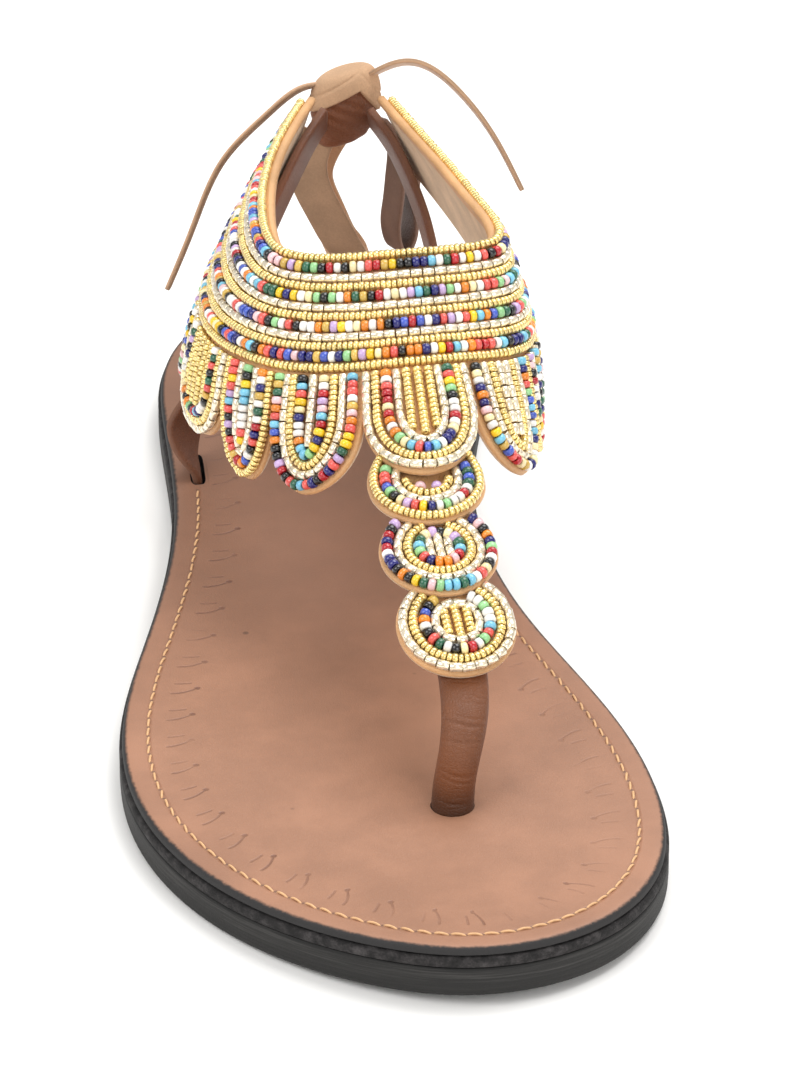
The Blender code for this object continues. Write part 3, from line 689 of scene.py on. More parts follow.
def bead_mesh(name, beads, outline, radius, half_long, around, material, colours=None):
    """Every bead is its outline, a closed loop of (along the hole, out from it), turned round the hole."""
    loop = np.asarray(outline, float)
    turn = np.arange(around) * 2 * math.pi / around
    centre, axis, out = beads[:, 0:3], beads[:, 3:6], beads[:, 6:9]
    side = np.cross(axis, out)
    ring = out[:, None] * np.cos(turn)[None, :, None] + side[:, None] * np.sin(turn)[None, :, None]
    points = (centre[:, None, None] + axis[:, None, None] * loop[:, 0][None, None, :, None]
              * half_long[:, None, None, None]
              + ring[:, :, None] * loop[:, 1][None, None, :, None] * radius[:, None, None, None])
    per = around * len(loop)
    quads = repeated(grid_quads(around, len(loop), True, True), len(beads), per)
    shade = None if colours is None else np.repeat(colours, per, axis=0)
    settle(put_mesh(name, place(points.reshape(-1, 3)), [quads], material, colours=shade), "upper")


class Nodes:
    """Short ways to add shader nodes to a tree."""

    def __init__(self, tree):
        self.tree = tree

    def add(self, kind, inputs=None, **settings):
        """A node with its settings and input values or links."""
        node = self.tree.nodes.new(kind)
        for key, value in settings.items():
            setattr(node, key, value)
        for key, value in (inputs or {}).items():
            self.set(node.inputs[key], value)
        return node

    def set(self, socket, value):
        """A link where the value is a socket, or else the socket's own value."""
        if isinstance(value, bpy.types.NodeSocket):
            self.tree.links.new(value, socket)
        else:
            socket.default_value = value

    def math(self, operation, *values):
        """One sum of one or two values."""
        node = self.add("ShaderNodeMath", operation=operation)
        for socket, value in zip(node.inputs, values):
            self.set(socket, value)
        return node.outputs[0]

    def times(self, first, *others):
        """The product of some values."""
        for other in others:
            first = self.math('MULTIPLY', first, other)
        return first

    def plus(self, first, second):
        """The sum of two values."""
        return self.math('ADD', first, second)

    def minus(self, first, second):
        """The first value less the second."""
        return self.math('SUBTRACT', first, second)

    def spread(self, first, second):
        """Distance from the middle of two coordinates."""
        return self.math('SQRT', self.plus(self.times(first, first), self.times(second, second)))

    def ramp(self, value, low, high):
        """The value's place between low and high, eased, from 0 to 1."""
        return self.add("ShaderNodeMapRange", {"Value": value, "From Min": low, "From Max": high},
                        interpolation_type='SMOOTHSTEP').outputs["Result"]

    def blend(self, share, first, second, how='MIX'):
        """A colour between two others."""
        return self.add("ShaderNodeMix", {"Factor": share, "A": first, "B": second}, data_type='RGBA',
                        blend_type=how).outputs["Result"]

    def value(self, name):
        """A named value of the piece's points."""
        return self.add("ShaderNodeAttribute", attribute_name=name).outputs["Fac"]

    def place(self):
        """The piece's own coordinates."""
        return self.add("ShaderNodeTexCoord").outputs["Object"]

    def axis(self, name):
        """One of the piece's own coordinates."""
        return self.add("ShaderNodeSeparateXYZ", {"Vector": self.place()}).outputs[name]

    def noise(self, where, scale, detail=4.0, roughness=0.55):
        """Fine cloudy noise."""
        return self.add("ShaderNodeTexNoise", {"Vector": where, "Scale": scale, "Detail": detail,
                                               "Roughness": roughness}).outputs["Fac"]

    def bump(self, height, strength, distance):
        """A normal from a height."""
        return self.add("ShaderNodeBump", {"Height": height, "Strength": strength,
                                           "Distance": distance}).outputs["Normal"]

    def effect(self, maker, scale):
        """Height and tone of one of the shared effects, placed with its own scale."""
        tree = bpy.data.node_groups.get(maker.__name__) or shared_effect(maker)
        node = self.add("ShaderNodeGroup", {"Place": self.place(), "Scale": scale}, node_tree=tree)
        return node.outputs["Height"], node.outputs["Tone"]


class Paint(Nodes):
    """A new material, whose shader's inputs are given by name."""

    def __init__(self, name):
        self.material = bpy.data.materials.new(name)
        self.material.use_nodes = True
        super().__init__(self.material.node_tree)

    def give(self, inputs):
        """Set or link the shader's inputs and hand over the material."""
        shader = self.tree.nodes["Principled BSDF"]
        for key, value in inputs.items():
            self.set(shader.inputs[key], value)
        return self.material


def shared_effect(maker):
    """A shader node group: a place and a scale go in, a height and a tone come out."""
    tree = bpy.data.node_groups.new(maker.__name__, 'ShaderNodeTree')
    for key, way, kind in (("Place", 'INPUT', 'NodeSocketVector'), ("Scale", 'INPUT', 'NodeSocketFloat'),
                           ("Height", 'OUTPUT', 'NodeSocketFloat'), ("Tone", 'OUTPUT', 'NodeSocketFloat')):
        tree.interface.new_socket(key, in_out=way, socket_type=kind)
    nodes = Nodes(tree)
    start = nodes.add("NodeGroupInput")
    height, tone = maker(nodes, start.outputs["Place"], start.outputs["Scale"])
    nodes.add("NodeGroupOutput", {"Height": height, "Tone": tone})
    return tree


def leather_grain(nodes, where, scale):
    """Grain: small cells with fine creases between them, and a slow change of tone."""
    cells = nodes.add("ShaderNodeTexVoronoi", {"Vector": where, "Scale": scale, "Randomness": 1.0},
                      feature='DISTANCE_TO_EDGE').outputs["Distance"]
    crease = nodes.ramp(cells, 0.0, 0.16)
    fine = nodes.noise(where, nodes.times(scale, 2.3), 3.0)
    tone = nodes.noise(where, nodes.times(scale, 0.035), 5.0, 0.6)
    return nodes.plus(nodes.times(crease, 0.6), nodes.times(fine, 0.5)), tone


def suede_nap(nodes, where, scale):
    """Nap: short fibres as fine noise, with brushed patches."""
    fibre = nodes.noise(where, scale, 5.0, 0.75)
    patch = nodes.noise(where, nodes.times(scale, 0.06), 3.0, 0.5)
    return fibre, nodes.plus(nodes.times(fibre, 0.5), nodes.times(patch, 0.5))


def darker(colour, share=1.0):
    """A colour with a share of its light, and its alpha."""
    return (colour[0] * share, colour[1] * share, colour[2] * share, 1.0)


def stamped_marks(paint, run, inset, settings):
    """Tool marks round the footbed, one for each pitch of the run: two strokes that start square to the edge
    and bend away as the square of their length, and a dot at the end of the first. They are fainter on the
    inner side."""
    pitch = settings.stamp_pitch / MM
    u = paint.minus(paint.math('MODULO', run, pitch), pitch / 2)
    v = paint.math('DIVIDE', paint.minus(inset, settings.stamp_inset / MM), STAMP_LONG)
    bow = paint.times(v, v)
    from_dot = paint.spread(paint.minus(u, STAMP_DOT), paint.times(paint.minus(v, 1.0), STAMP_LONG))
    mark = paint.ramp(from_dot, 0.72, 0.3)
    for aside, bend, start, end, depth in STAMP_STROKES:
        off = paint.math('ABSOLUTE', paint.minus(paint.minus(u, aside), paint.times(bow, bend)))
        stroke = paint.times(paint.ramp(off, 0.42, 0.1), paint.ramp(v, *start), paint.ramp(v, *end), depth)
        mark = paint.math('MAXIMUM', mark, stroke)
    patchy = paint.ramp(paint.noise(paint.place(), 110.0, 2.0), 0.28, 0.6)
    faint = paint.times(paint.ramp(paint.axis("X"), *FAINT_FROM_TO), 0.6)
    return paint.times(mark, patchy, paint.minus(1.0, faint))


def insole_paint(settings):
    """Satin brown leather: slow tone, fine grain, painted shade that darkens it towards the heel, stamped
    marks, a furrow with stitch holes painted as dark dots of shade, specks, and black dye that creeps over the
    edge."""
    paint = Paint("insole_leather")
    leather = settings.leather_colour
    height, tone = paint.effect(leather_grain, 1500.0)
    run, inset = paint.value("run"), paint.value("inset")
    # painted shade: the footbed darkens from under the collar on to the heel, standing in for the collar's
    # shadow
    painted_shade = paint.ramp(paint.axis("Y"), *SHADE_FROM_TO)
    stamp = stamped_marks(paint, run, inset, settings)
    aside = paint.minus(inset, settings.stitch_inset / MM)
    furrow = paint.ramp(paint.math('ABSOLUTE', aside), 0.7, 0.2)
    along = paint.math('PINGPONG', run, settings.stitch_length / MM / 2)
    # painted shade: the stitch holes are not cut; each is a dark dot standing in for the shade inside a hole
    hole = paint.ramp(paint.spread(along, aside), 0.42, 0.18)
    cells = paint.add("ShaderNodeTexVoronoi", {"Vector": paint.place(), "Scale": 45.0})
    speck = paint.ramp(cells.outputs["Distance"], 0.035, 0.015)
    creep = paint.times(paint.noise(paint.place(), 900.0, 5.0, 0.7), 0.9)
    dye = paint.ramp(paint.minus(inset, creep), 0.45, -0.3)
    brown = paint.blend(paint.ramp(tone, 0.32, 0.72), darker(leather, 0.88), darker(leather, 1.1))
    for mask, share, colour in (
        (painted_shade, 0.5, darker(leather, 0.5)),
        (stamp, 0.7, darker(settings.stamp_colour)),
        (furrow, 0.14, darker(leather, 0.5)),
        (hole, 0.5, darker(leather, 0.12)),
        (speck, 0.7, darker(leather, 0.3)),
        (dye, 1.0, darker(settings.edge_colour)),
    ):
        brown = paint.blend(paint.times(mask, share), brown, colour)
    dents = paint.math('MAXIMUM', stamp, paint.times(furrow, 0.6))
    rough = paint.plus(0.42, paint.times(tone, 0.16))
    return paint.give({
        "Base Color": brown,
        "Roughness": paint.plus(rough, paint.times(dye, 0.2)),
        "Normal": paint.bump(paint.minus(paint.times(height, 0.12), dents), 0.5, 0.0004),
    })


def edge_paint(settings):
    """Dyed layered edge: black with grey fibres that run along it."""
    paint = Paint("dyed_edge")
    height, tone = paint.effect(suede_nap, 2600.0)
    mottle = paint.ramp(paint.noise(paint.place(), 420.0, 5.0, 0.7), 0.38, 0.68)
    fuzz = paint.times(paint.ramp(tone, 0.3, 0.7), mottle)
    return paint.give({
        "Base Color": paint.blend(fuzz, darker(settings.edge_colour, 0.7), darker(settings.edge_colour, 5.0)),
        "Roughness": 0.85,
        "Specular IOR Level": 0.35,
        "Normal": paint.bump(height, 0.7, 0.0004),
    })


def rubber_paint(settings):
    """Rubber sheet: charcoal with pale streaks that run round the edge, most of them in a band at mid height.
    """
    paint = Paint("sole_rubber")
    rubber = settings.rubber_colour
    run, rise = paint.value("run"), paint.value("rise")
    where = paint.add("ShaderNodeCombineXYZ", {"X": paint.times(run, 0.02), "Y": rise}).outputs["Vector"]
    streak = paint.noise(where, 2.6, 6.0, 0.65)
    band = paint.times(paint.ramp(rise, 2.2, 3.6), paint.ramp(rise, 5.6, 4.6))
    pale = paint.times(paint.ramp(streak, 0.42, 0.72), paint.plus(0.25, paint.times(band, 0.75)))
    dark = paint.blend(paint.ramp(rise, 4.6, 5.4), darker(rubber), darker(rubber, 0.5))
    grit = paint.noise(paint.place(), 2200.0, 3.0)
    shape = paint.plus(paint.times(streak, 0.7), paint.times(grit, 0.3))
    return paint.give({
        "Base Color": paint.blend(pale, dark, darker(rubber, 3.4)),
        "Roughness": paint.plus(0.5, paint.times(streak, 0.3)),
        "Specular IOR Level": 0.3,
        "Normal": paint.bump(shape, 0.45, 0.0005),
    })


def strap_paint(name, grain_colour, suede_colour, scale=1300.0, painted_shade=0.0):
    """Strap leather: grain where side is above zero, suede where it is below, with painted shade that darkens
    it over the first length of its run.
    """
    paint = Paint(name)
    grain, tone = paint.effect(leather_grain, scale)
    nap, shade = paint.effect(suede_nap, 2400.0)
    rough_side = paint.ramp(paint.value("side"), 0.35, -0.35)
    leather = paint.blend(paint.ramp(tone, 0.3, 0.75), darker(grain_colour, 0.78), darker(grain_colour, 1.18))
    suede = paint.blend(paint.ramp(shade, 0.35, 0.7), darker(suede_colour, 0.82), darker(suede_colour, 1.12))
    # painted shade: darker over the first length of the run
    if painted_shade:
        leather = paint.blend(paint.ramp(paint.value("run"), painted_shade, 1.0), leather, darker(grain_colour, 0.35))
    shape = paint.plus(paint.times(grain, paint.minus(1.0, rough_side)), paint.times(nap, rough_side))
    return paint.give({
        "Base Color": paint.blend(rough_side, leather, suede),
        "Roughness": paint.plus(0.5, paint.times(rough_side, 0.4)),
        "Normal": paint.bump(shape, 0.4, 0.0003),
        "Sheen Weight": 0.04,
        "Sheen Roughness": 0.5,
    })


def bead_paint(name, colour, metallic, roughness, coat):
    """Glass bead: its own colour with faint changes of tone, and a clear coat."""
    paint = Paint(name)
    tone = paint.noise(paint.place(), 700.0, 2.0)
    if colour is None:
        own = paint.add("ShaderNodeAttribute", attribute_name="colour").outputs["Color"]
        look = paint.blend(paint.times(tone, 0.25), own, (0.75, 0.75, 0.75, 1.0), 'MULTIPLY')
    else:
        look = paint.blend(paint.ramp(tone, 0.3, 0.7), darker(colour, 0.8), darker(colour, 1.12))
    return paint.give({
        "Base Color": look,
        "Metallic": metallic,
        "Roughness": paint.plus(roughness, paint.times(tone, 0.1)),
        "Coat Weight": coat,
        "Coat Roughness": 0.06,
    })


def thread_paint(colour):
    """Waxed thread: twisted strands across the stitch."""
    paint = Paint("stitch_thread")
    twist = paint.noise(paint.place(), 1800.0, 2.0)
    return paint.give({
        "Base Color": paint.blend(twist, darker(colour, 0.7), darker(colour, 1.15)),
        "Roughness": 0.6,
        "Normal": paint.bump(twist, 0.4, 0.0002),
    })


def floor_paint(colour):
    """Pale floor with faint clouds."""
    paint = Paint("pale_floor")
    cloud = paint.noise(paint.place(), 3.0, 2.0)
    return paint.give({
        "Base Color": paint.blend(cloud, darker(colour, 0.985), darker(colour)),
        "Roughness": 0.75,
    })


def colour_of(red, green, blue, name, words):
    """A colour property with its default as linear light."""
    return FloatVectorProperty(name=name, description=words, subtype='COLOR', size=3, min=0.0, max=1.0,
                               default=linear(red, green, blue))


def length_of(metres, name, words):
    """A length property."""
    return FloatProperty(name=name, description=words, default=metres, unit='LENGTH', min=0.0001)


class SandalSole(bpy.types.PropertyGroup):
    """Sizes and colours of the sole and footbed."""
    stations: IntProperty(name="Stations", description="Cuts along the sole", default=150, min=20)
    stitch_length: length_of(0.0032, "Stitch length", "From one stitch to the next")
    stitch_inset: length_of(0.0044, "Stitch inset", "From the footbed's edge to the stitches")
    thread: length_of(0.00046, "Thread", "Thickness of the thread")
    stamp_inset: length_of(0.0076, "Stamp inset", "From the footbed's edge to the stamped marks")
    stamp_pitch: length_of(0.0099, "Stamp pitch", "From one stamped mark to the next")
    leather_colour: colour_of(159, 115, 90, "Footbed", "Brown leather of the footbed")
    stamp_colour: colour_of(96, 58, 44, "Stamp", "Pressed leather of the stamped marks")
    edge_colour: colour_of(34, 32, 32, "Edge dye", "Black dye on the cut edges")
    rubber_colour: colour_of(35, 34, 33, "Rubber", "Rubber of the outsole")
    thread_colour: colour_of(224, 178, 130, "Thread colour", "Thread of the edge stitching")


class SandalBeads(bpy.types.PropertyGroup):
    """Sizes and colours of the beads and their leather."""
    gold_size: length_of(0.00175, "Gold beads", "Diameter of the small gold beads")
    gold_length: length_of(0.00098, "Gold bead length", "From one gold bead to the next")
    mixed_size: length_of(0.0021, "Mixed beads", "Diameter of the coloured beads")
    mixed_length: length_of(0.00142, "Mixed bead length", "From one coloured bead to the next")
    silver_size: length_of(0.0017, "Silver tubes", "Diameter of the silver tubes")
    silver_length: length_of(0.0022, "Silver tube length", "From one silver tube to the next")
    seed: IntProperty(name="Seed", description="Order of the mixed colours", default=11)
    gold_colour: colour_of(255, 226, 146, "Gold", "Metal look of the gold beads")
    silver_colour: colour_of(250, 236, 208, "Silver", "Metal look of the silver tubes")
    backing_colour: colour_of(218, 168, 116, "Backing", "Leather under the beads")
    lining_colour: colour_of(226, 202, 174, "Lining", "Suede inside the collar")


class SandalStraps(bpy.types.PropertyGroup):
    """Sizes and colours of toe post, heel straps and tie."""
    strap_width: length_of(0.0105, "Heel strap", "Width of the heel straps")
    strap_thick: length_of(0.0019, "Heel strap thickness", "Thickness of the heel straps")
    end_width: length_of(0.007, "Tie end", "Width of the tie's ends")
    end_thick: length_of(0.001, "Tie thickness", "Thickness of the tie")
    loop_width: length_of(0.008, "Tie loop", "Width of the tie's loops")
    # tan grain of the tie, made lighter: painted light on its thin edge-on ends
    grain_colour: colour_of(200, 160, 126, "Grain side", "Grain side of the tie")
    loop_colour: colour_of(170, 138, 110, "Tie back", "Flesh side of the tie, and its outer loop")
    # darker copy of the tie's leather: painted shade on the inner loop inside the collar
    inner_loop_shade: colour_of(126, 96, 80, "Inner loop", "Leather of the tie's inner loop")
    # real brown grain of the strap, made darker: painted shade inside the collar
    strap_shade_colour: colour_of(112, 66, 40, "Heel strap colour", "Grain side of the heel straps")
    suede_colour: colour_of(198, 160, 126, "Knot fold", "Suede of the fold over the knot")
    # tan flesh side made darker: painted shade inside the collar
    strap_back_shade: colour_of(122, 84, 64, "Heel strap back", "Flesh side of the heel straps")
    post_colour: colour_of(116, 64, 28, "Toe post", "Rolled leather of the toe post")
    # darker copy of the strap's leather: painted shade inside the knot
    knot_shade_colour: colour_of(126, 74, 44, "Knot", "Dark leather inside the knot")


class SandalStage(bpy.types.PropertyGroup):
    """Camera, floor and light."""
    lens: FloatProperty(name="Lens", description="Focal length in millimetres", default=154.0, min=20.0)
    floor_colour: colour_of(250, 249, 247, "Floor", "Plain pale floor")
    sky: FloatProperty(name="Sky", description="Strength of the light from all round", default=0.52, min=0.0)
    key: FloatProperty(name="Key light", description="Power of the large light", default=12.4, min=0.0)


class SANDAL_OT_camera(bpy.types.Operator):
    """Set the camera at the picture's angle to the shoe"""
    bl_idname = "sandal.camera"
    bl_label = "Camera"

    def execute(self, context):
        settings = context.scene.sandal_stage
        data = bpy.data.cameras.new("camera")
        data.lens = settings.lens
        data.sensor_width = 36.0
        data.clip_start = 0.01
        camera = bpy.data.objects.new("camera", data)
        aim = Vector(CAMERA_AIM).normalized()
        right = aim.cross(Vector((0, 0, 1))).normalized()
        up = right.cross(aim)
        turn = Matrix((right, up, -aim)).transposed().to_4x4()
        camera.matrix_world = Matrix.Translation(CAMERA_PLACE) @ turn
        context.scene.collection.objects.link(camera)
        context.scene.camera = camera
        return {'FINISHED'}


class SANDAL_OT_tie(bpy.types.Operator):
    """Make the tie's two ends and two loops as flat cords"""
    bl_idname = "sandal.tie"
    bl_label = "Tie"

    def execute(self, context):
        settings = context.scene.sandal_straps
        # the tie's grain is lightened: painted light on the thin ends
        pale = strap_paint("tie_leather", settings.grain_colour, settings.loop_colour)
        # the inner loop takes a darker copy of the tie's leather: painted shade
        dark = strap_paint("tie_leather_painted_shade", settings.inner_loop_shade, settings.inner_loop_shade)
        for name, rows, broad, width, far_end, paint in (
            ("tie_end_lateral", TIE_END_OUTER, END_BROAD, settings.end_width, "bare", pale),
            ("tie_end_medial", TIE_END_INNER, END_BROAD, settings.end_width, "bare", pale),
            ("tie_loop_lateral", TIE_LOOP_OUTER, OUTER_LOOP_BROAD, settings.loop_width, "object", pale),
            ("tie_loop_medial", TIE_LOOP_INNER, INNER_LOOP_BROAD, settings.loop_width, "object", dark),
        ):
            path = smooth_path(rows, 80)
            half = np.full(len(path), width / MM / 2)
            turned = -1
            if far_end == "bare":
                turned = 1
                share = np.linspace(0.0, 1.0, len(path))
                squeeze = 1 - END_SQUEEZE + END_SQUEEZE * smoothstep(share / SQUEEZE_SHARE)
                half = half * (1 - END_TAPER * share ** 3) * squeeze
            face = np.cross(np.gradient(path, axis=0), broad)
            points, faces, run, side = sweep(path, face, half, settings.end_thick / MM / 2)
            obj = put_mesh(name + "_leather", place(points), faces, paint, {"run": run, "side": turned * side})
            settle(obj, "strap_leather", name)
        return {'FINISHED'}


class SANDAL_OT_sole(bpy.types.Operator):
    """Make the rubber outsole and the dyed midsole edge"""
    bl_idname = "sandal.sole"
    bl_label = "Sole"

    def execute(self, context):
        settings = context.scene.sandal_sole
        loop = grown(sole_loop(settings.stations), OUTSOLE_LIP)
        self.layer("outsole_rubber", loop, RUBBER_LEVELS, rubber_paint(settings), "outsole")
        self.layer("midsole_edge", loop, EDGE_LEVELS, edge_paint(settings), "midsole")
        return {'FINISHED'}

    def layer(self, name, loop, levels, paint, node):
        """A layer: the outline grown by each level's lip at its height plus toe spring and arch, closed
        above and below by strips across the foot."""
        around = len(loop)
        half = around // 2
        top = (len(levels) - 1) * around
        rings = [layer_ring(loop, *level) for level in levels]
        i = np.arange(1, half - 1)
        strip = np.stack([i, i + 1, around - i - 1, around - i], axis=1)
        caps = np.array(((0, 1, around - 1), (half - 1, half, half + 1)))
        faces = [grid_quads(len(levels), around, close_columns=True), strip[:, ::-1], caps[:, ::-1],
                 strip + top, caps + top]
        values = {"run": np.tile(run_of(closed(loop))[:-1], len(levels)),
                  "rise": np.repeat([up for up, _, _ in levels], around)}
        settle(put_mesh(name, place(np.vstack(rings)), faces, paint, values), node, node)


class SANDAL_OT_insole(bpy.types.Operator):
    """Make the leather footbed with its toe hole and strap slots"""
    bl_idname = "sandal.insole"
    bl_label = "Footbed"

    def execute(self, context):
        settings = context.scene.sandal_sole
        obj = self.leather(settings)
        self.cut(obj)
        self.mend(obj.data)
        obj.data.set_sharp_from_angle(angle=math.radians(SHARP_DEGREES))
        settle(obj, "footbed", "footbed")
        return {'FINISHED'}

    def leather(self, settings):
        """The uncut footbed: rings from the lower edge over the rounded rim and inwards, then columns across
        the foot, with strips below. Its run is stretched to a whole number of stitches."""
        loop = footbed_loop(settings.stations)
        around = len(loop)
        half = around // 2
        run = run_of(closed(loop))
        whole = round(run[-1] * MM / settings.stitch_length) * settings.stitch_length / MM
        run = run[:-1] * whole / run[-1]
        levels = FOOTBED_EDGE + tuple((0.0, -inset, inset) for inset in FOOTBED_INSETS)
        rings = [layer_ring(loop, SOLE_TOP + rise, lip) for rise, lip, _ in levels]
        top = (len(levels) - 1) * around
        i = np.arange(1, half)
        left, right = rings[-1][i], rings[-1][around - i]
        share = np.linspace(0, 1, FOOTBED_COLUMNS + 1)[1:-1]
        inner = (left[:, None] + (right - left)[:, None] * share[None, :, None]).reshape(-1, 3)
        rows = np.c_[top + i, top + around + np.arange(len(inner)).reshape(half - 1, -1), top + around - i]
        faces = [grid_quads(len(levels), around, close_columns=True),
                 np.stack([rows[:-1, :-1], rows[1:, :-1], rows[1:, 1:], rows[:-1, 1:]], axis=-1).reshape(-1, 4)]
        for tip, line in ((top, rows[0]), (top + half, rows[-1][::-1])):
            faces.append(np.stack([np.full(len(line) - 1, tip), line[:-1], line[1:]], axis=1))
        i = i[:-1]
        faces += [np.stack([i, around - i, around - i - 1, i + 1], axis=1),
                  np.array(((0, around - 1, 1), (half - 1, half + 1, half)))]
        insets = np.repeat([inset for _, _, inset in levels], around)
        values = {"run": np.append(np.tile(run, len(levels)), np.zeros(len(inner))),
                  "inset": np.append(insets, np.full(len(inner), PLAIN_INSET))}
        points = place(np.vstack(rings + [inner]))
        return put_mesh("footbed_leather", points, faces, insole_paint(settings), values)

    def cut(self, obj):
        """Take the toe hole and the slots out of the footbed."""
        turn = np.linspace(0, 2 * math.pi, 32, endpoint=False)
        x, y = np.cos(turn), np.sin(turn)
        plans = [np.c_[TOE_HOLE[0] + TOE_HOLE[2] * x, TOE_HOLE[1] + TOE_HOLE[2] * y]]
        for across in SLOTS_ACROSS:
            plans.append(np.c_[SLOT_FORWARD + SLOT_LENGTH / 2 * signed_power(x, 0.35),
                               across + SLOT_WIDTH / 2 * signed_power(y, 0.5)])
        for plan in plans:
            rings = [np.c_[plan, np.full(len(plan), up)] for up in CUT_FROM_TO]
            points = np.vstack(rings + [ring.mean(axis=0) for ring in rings])
            cutter = put_mesh("cutter", place(points), tube_faces(2, len(plan)), obj.data.materials[0])
            hole = obj.modifiers.new("hole", 'BOOLEAN')
            hole.operation = 'DIFFERENCE'
            hole.solver = 'EXACT'
            hole.object = cutter
            graph = bpy.context.evaluated_depsgraph_get()
            mesh = bpy.data.meshes.new_from_object(obj.evaluated_get(graph))
            obj.modifiers.clear()
            obj.data = mesh
            bpy.data.objects.remove(cutter)

    def mend(self, mesh):
        """Give the toe hole's rim the inset of the leather round it, so that no mark runs round the hole."""
        count = len(mesh.vertices)
        points, inset = np.empty(3 * count), np.empty(count)
        mesh.vertices.foreach_get("co", points)
        mesh.attributes["inset"].data.foreach_get("value", inset)
        rim = place((TOE_HOLE[0], TOE_HOLE[1], 0.0))
        away = np.hypot(*(points.reshape(-1, 3) - rim)[:, :2].T) / MM
        inset[away < 2 * TOE_HOLE[2]] = PLAIN_INSET
        mesh.attributes["inset"].data.foreach_set("value", inset)


class SANDAL_OT_stitching(bpy.types.Operator):
    """Sew round the footbed's edge"""
    bl_idname = "sandal.stitching"
    bl_label = "Edge stitching"

    def execute(self, context):
        settings = context.scene.sandal_sole
        edge = footbed_loop(400)
        loop = closed(grown(edge, -settings.stitch_inset / MM))
        run = run_of(closed(edge))
        count = round(run[-1] * MM / settings.stitch_length)
        at = (np.arange(count) + 0.5) * run[-1] / count
        middle = read(at, run, loop)
        along = unit(read(at + 0.5, run, loop) - middle)
        beside = np.abs(middle[:, 0] - SLOT_FORWARD) > SLOT_LENGTH / 2 + 1
        clear = np.ones(count, bool)
        for across in SLOTS_ACROSS:
            clear &= beside | (np.abs(middle[:, 1] - across) > SLOT_CLEAR)
        lean = np.radians(np.random.default_rng(3).normal(0, 3, count) - STITCH_LEAN)
        side = np.c_[-along[:, 1], along[:, 0]]
        along = along * np.cos(lean)[:, None] + side * np.sin(lean)[:, None]
        self.sew(middle[clear], along[clear], settings)
        return {'FINISHED'}

    def sew(self, middle, along, settings):
        """Each stitch is a round thread whose middle line is a low arc: up = sink and rise of a half sine
        along its length, the thread's radius shrinking to nothing at both ends."""
        steps, around = 7, 6
        share = np.linspace(-1, 1, steps)
        half = settings.stitch_length / MM * STITCH_SHARE
        radius = settings.thread / MM / 2 * np.sqrt(np.maximum(0.02, 1 - share ** 6))
        rise = STITCH_RISE * np.cos(share * math.pi / 2) - STITCH_SINK
        turn = np.arange(around) * 2 * math.pi / around
        level = np.zeros(len(along))
        base = np.c_[middle, spring(middle[:, 0])]
        ahead = np.c_[along, level]
        side = np.c_[-along[:, 1], along[:, 0], level]
        up = np.array((0.0, 0.0, 1.0))
        centre = base[:, None] + ahead[:, None] * (share * half)[None, :, None] + up * rise[None, :, None]
        ring = side[:, None, None] * np.cos(turn)[None, None, :, None] + up * np.sin(turn)[None, None, :, None]
        points = centre[:, :, None] + ring * radius[None, :, None, None]
        faces = [repeated(face, len(middle), steps * around) for face in barrel_faces(steps, around)]
        paint = thread_paint(settings.thread_colour)
        settle(put_mesh("edge_stitching", place(points.reshape(-1, 3)), faces, paint), "footbed")


class SANDAL_OT_toe_post(bpy.types.Operator):
    """Roll the leather toe post"""
    bl_idname = "sandal.toe_post"
    bl_label = "Toe post"

    def execute(self, context):
        settings = context.scene.sandal_straps
        rows = smooth_path(TOE_POST, 150)
        around = 40
        path = rows[:, :3]
        run = run_of(path)
        turn = (np.arange(around) + 0.5) * 2 * math.pi / around
        crease = np.zeros((len(path), around))
        chance = np.random.default_rng(5)
        for _ in range(POST_CREASES):
            at = chance.uniform(2, run[-1] - 2)
            where = chance.uniform(0, 2 * math.pi)
            wave = at + CREASE_WAVE * np.sin(turn * 2 + where)
            near = np.exp(-((run[:, None] - wave[None]) / CREASE_WIDE) ** 2)
            crease -= near * (CREASE_DEEP * (0.55 + 0.45 * np.cos(turn - where)))[None]
        face = np.tile(POST_FACING, (len(path), 1))
        thick = rows[:, 4:5] * (1 + crease / 3.0)
        points, faces, length, _ = sweep(path, face, rows[:, 3], thick, around, ROUND)
        # painted shade: the post darkens towards the toe hole
        paint = strap_paint("post_leather", settings.post_colour, settings.post_colour, 1700.0, POST_SHADE_LENGTH)
        values = {"run": length, "side": np.ones(len(points))}
        settle(put_mesh("toe_post_leather", place(points), faces, paint, values), "strap_leather", "toe_post")
        return {'FINISHED'}


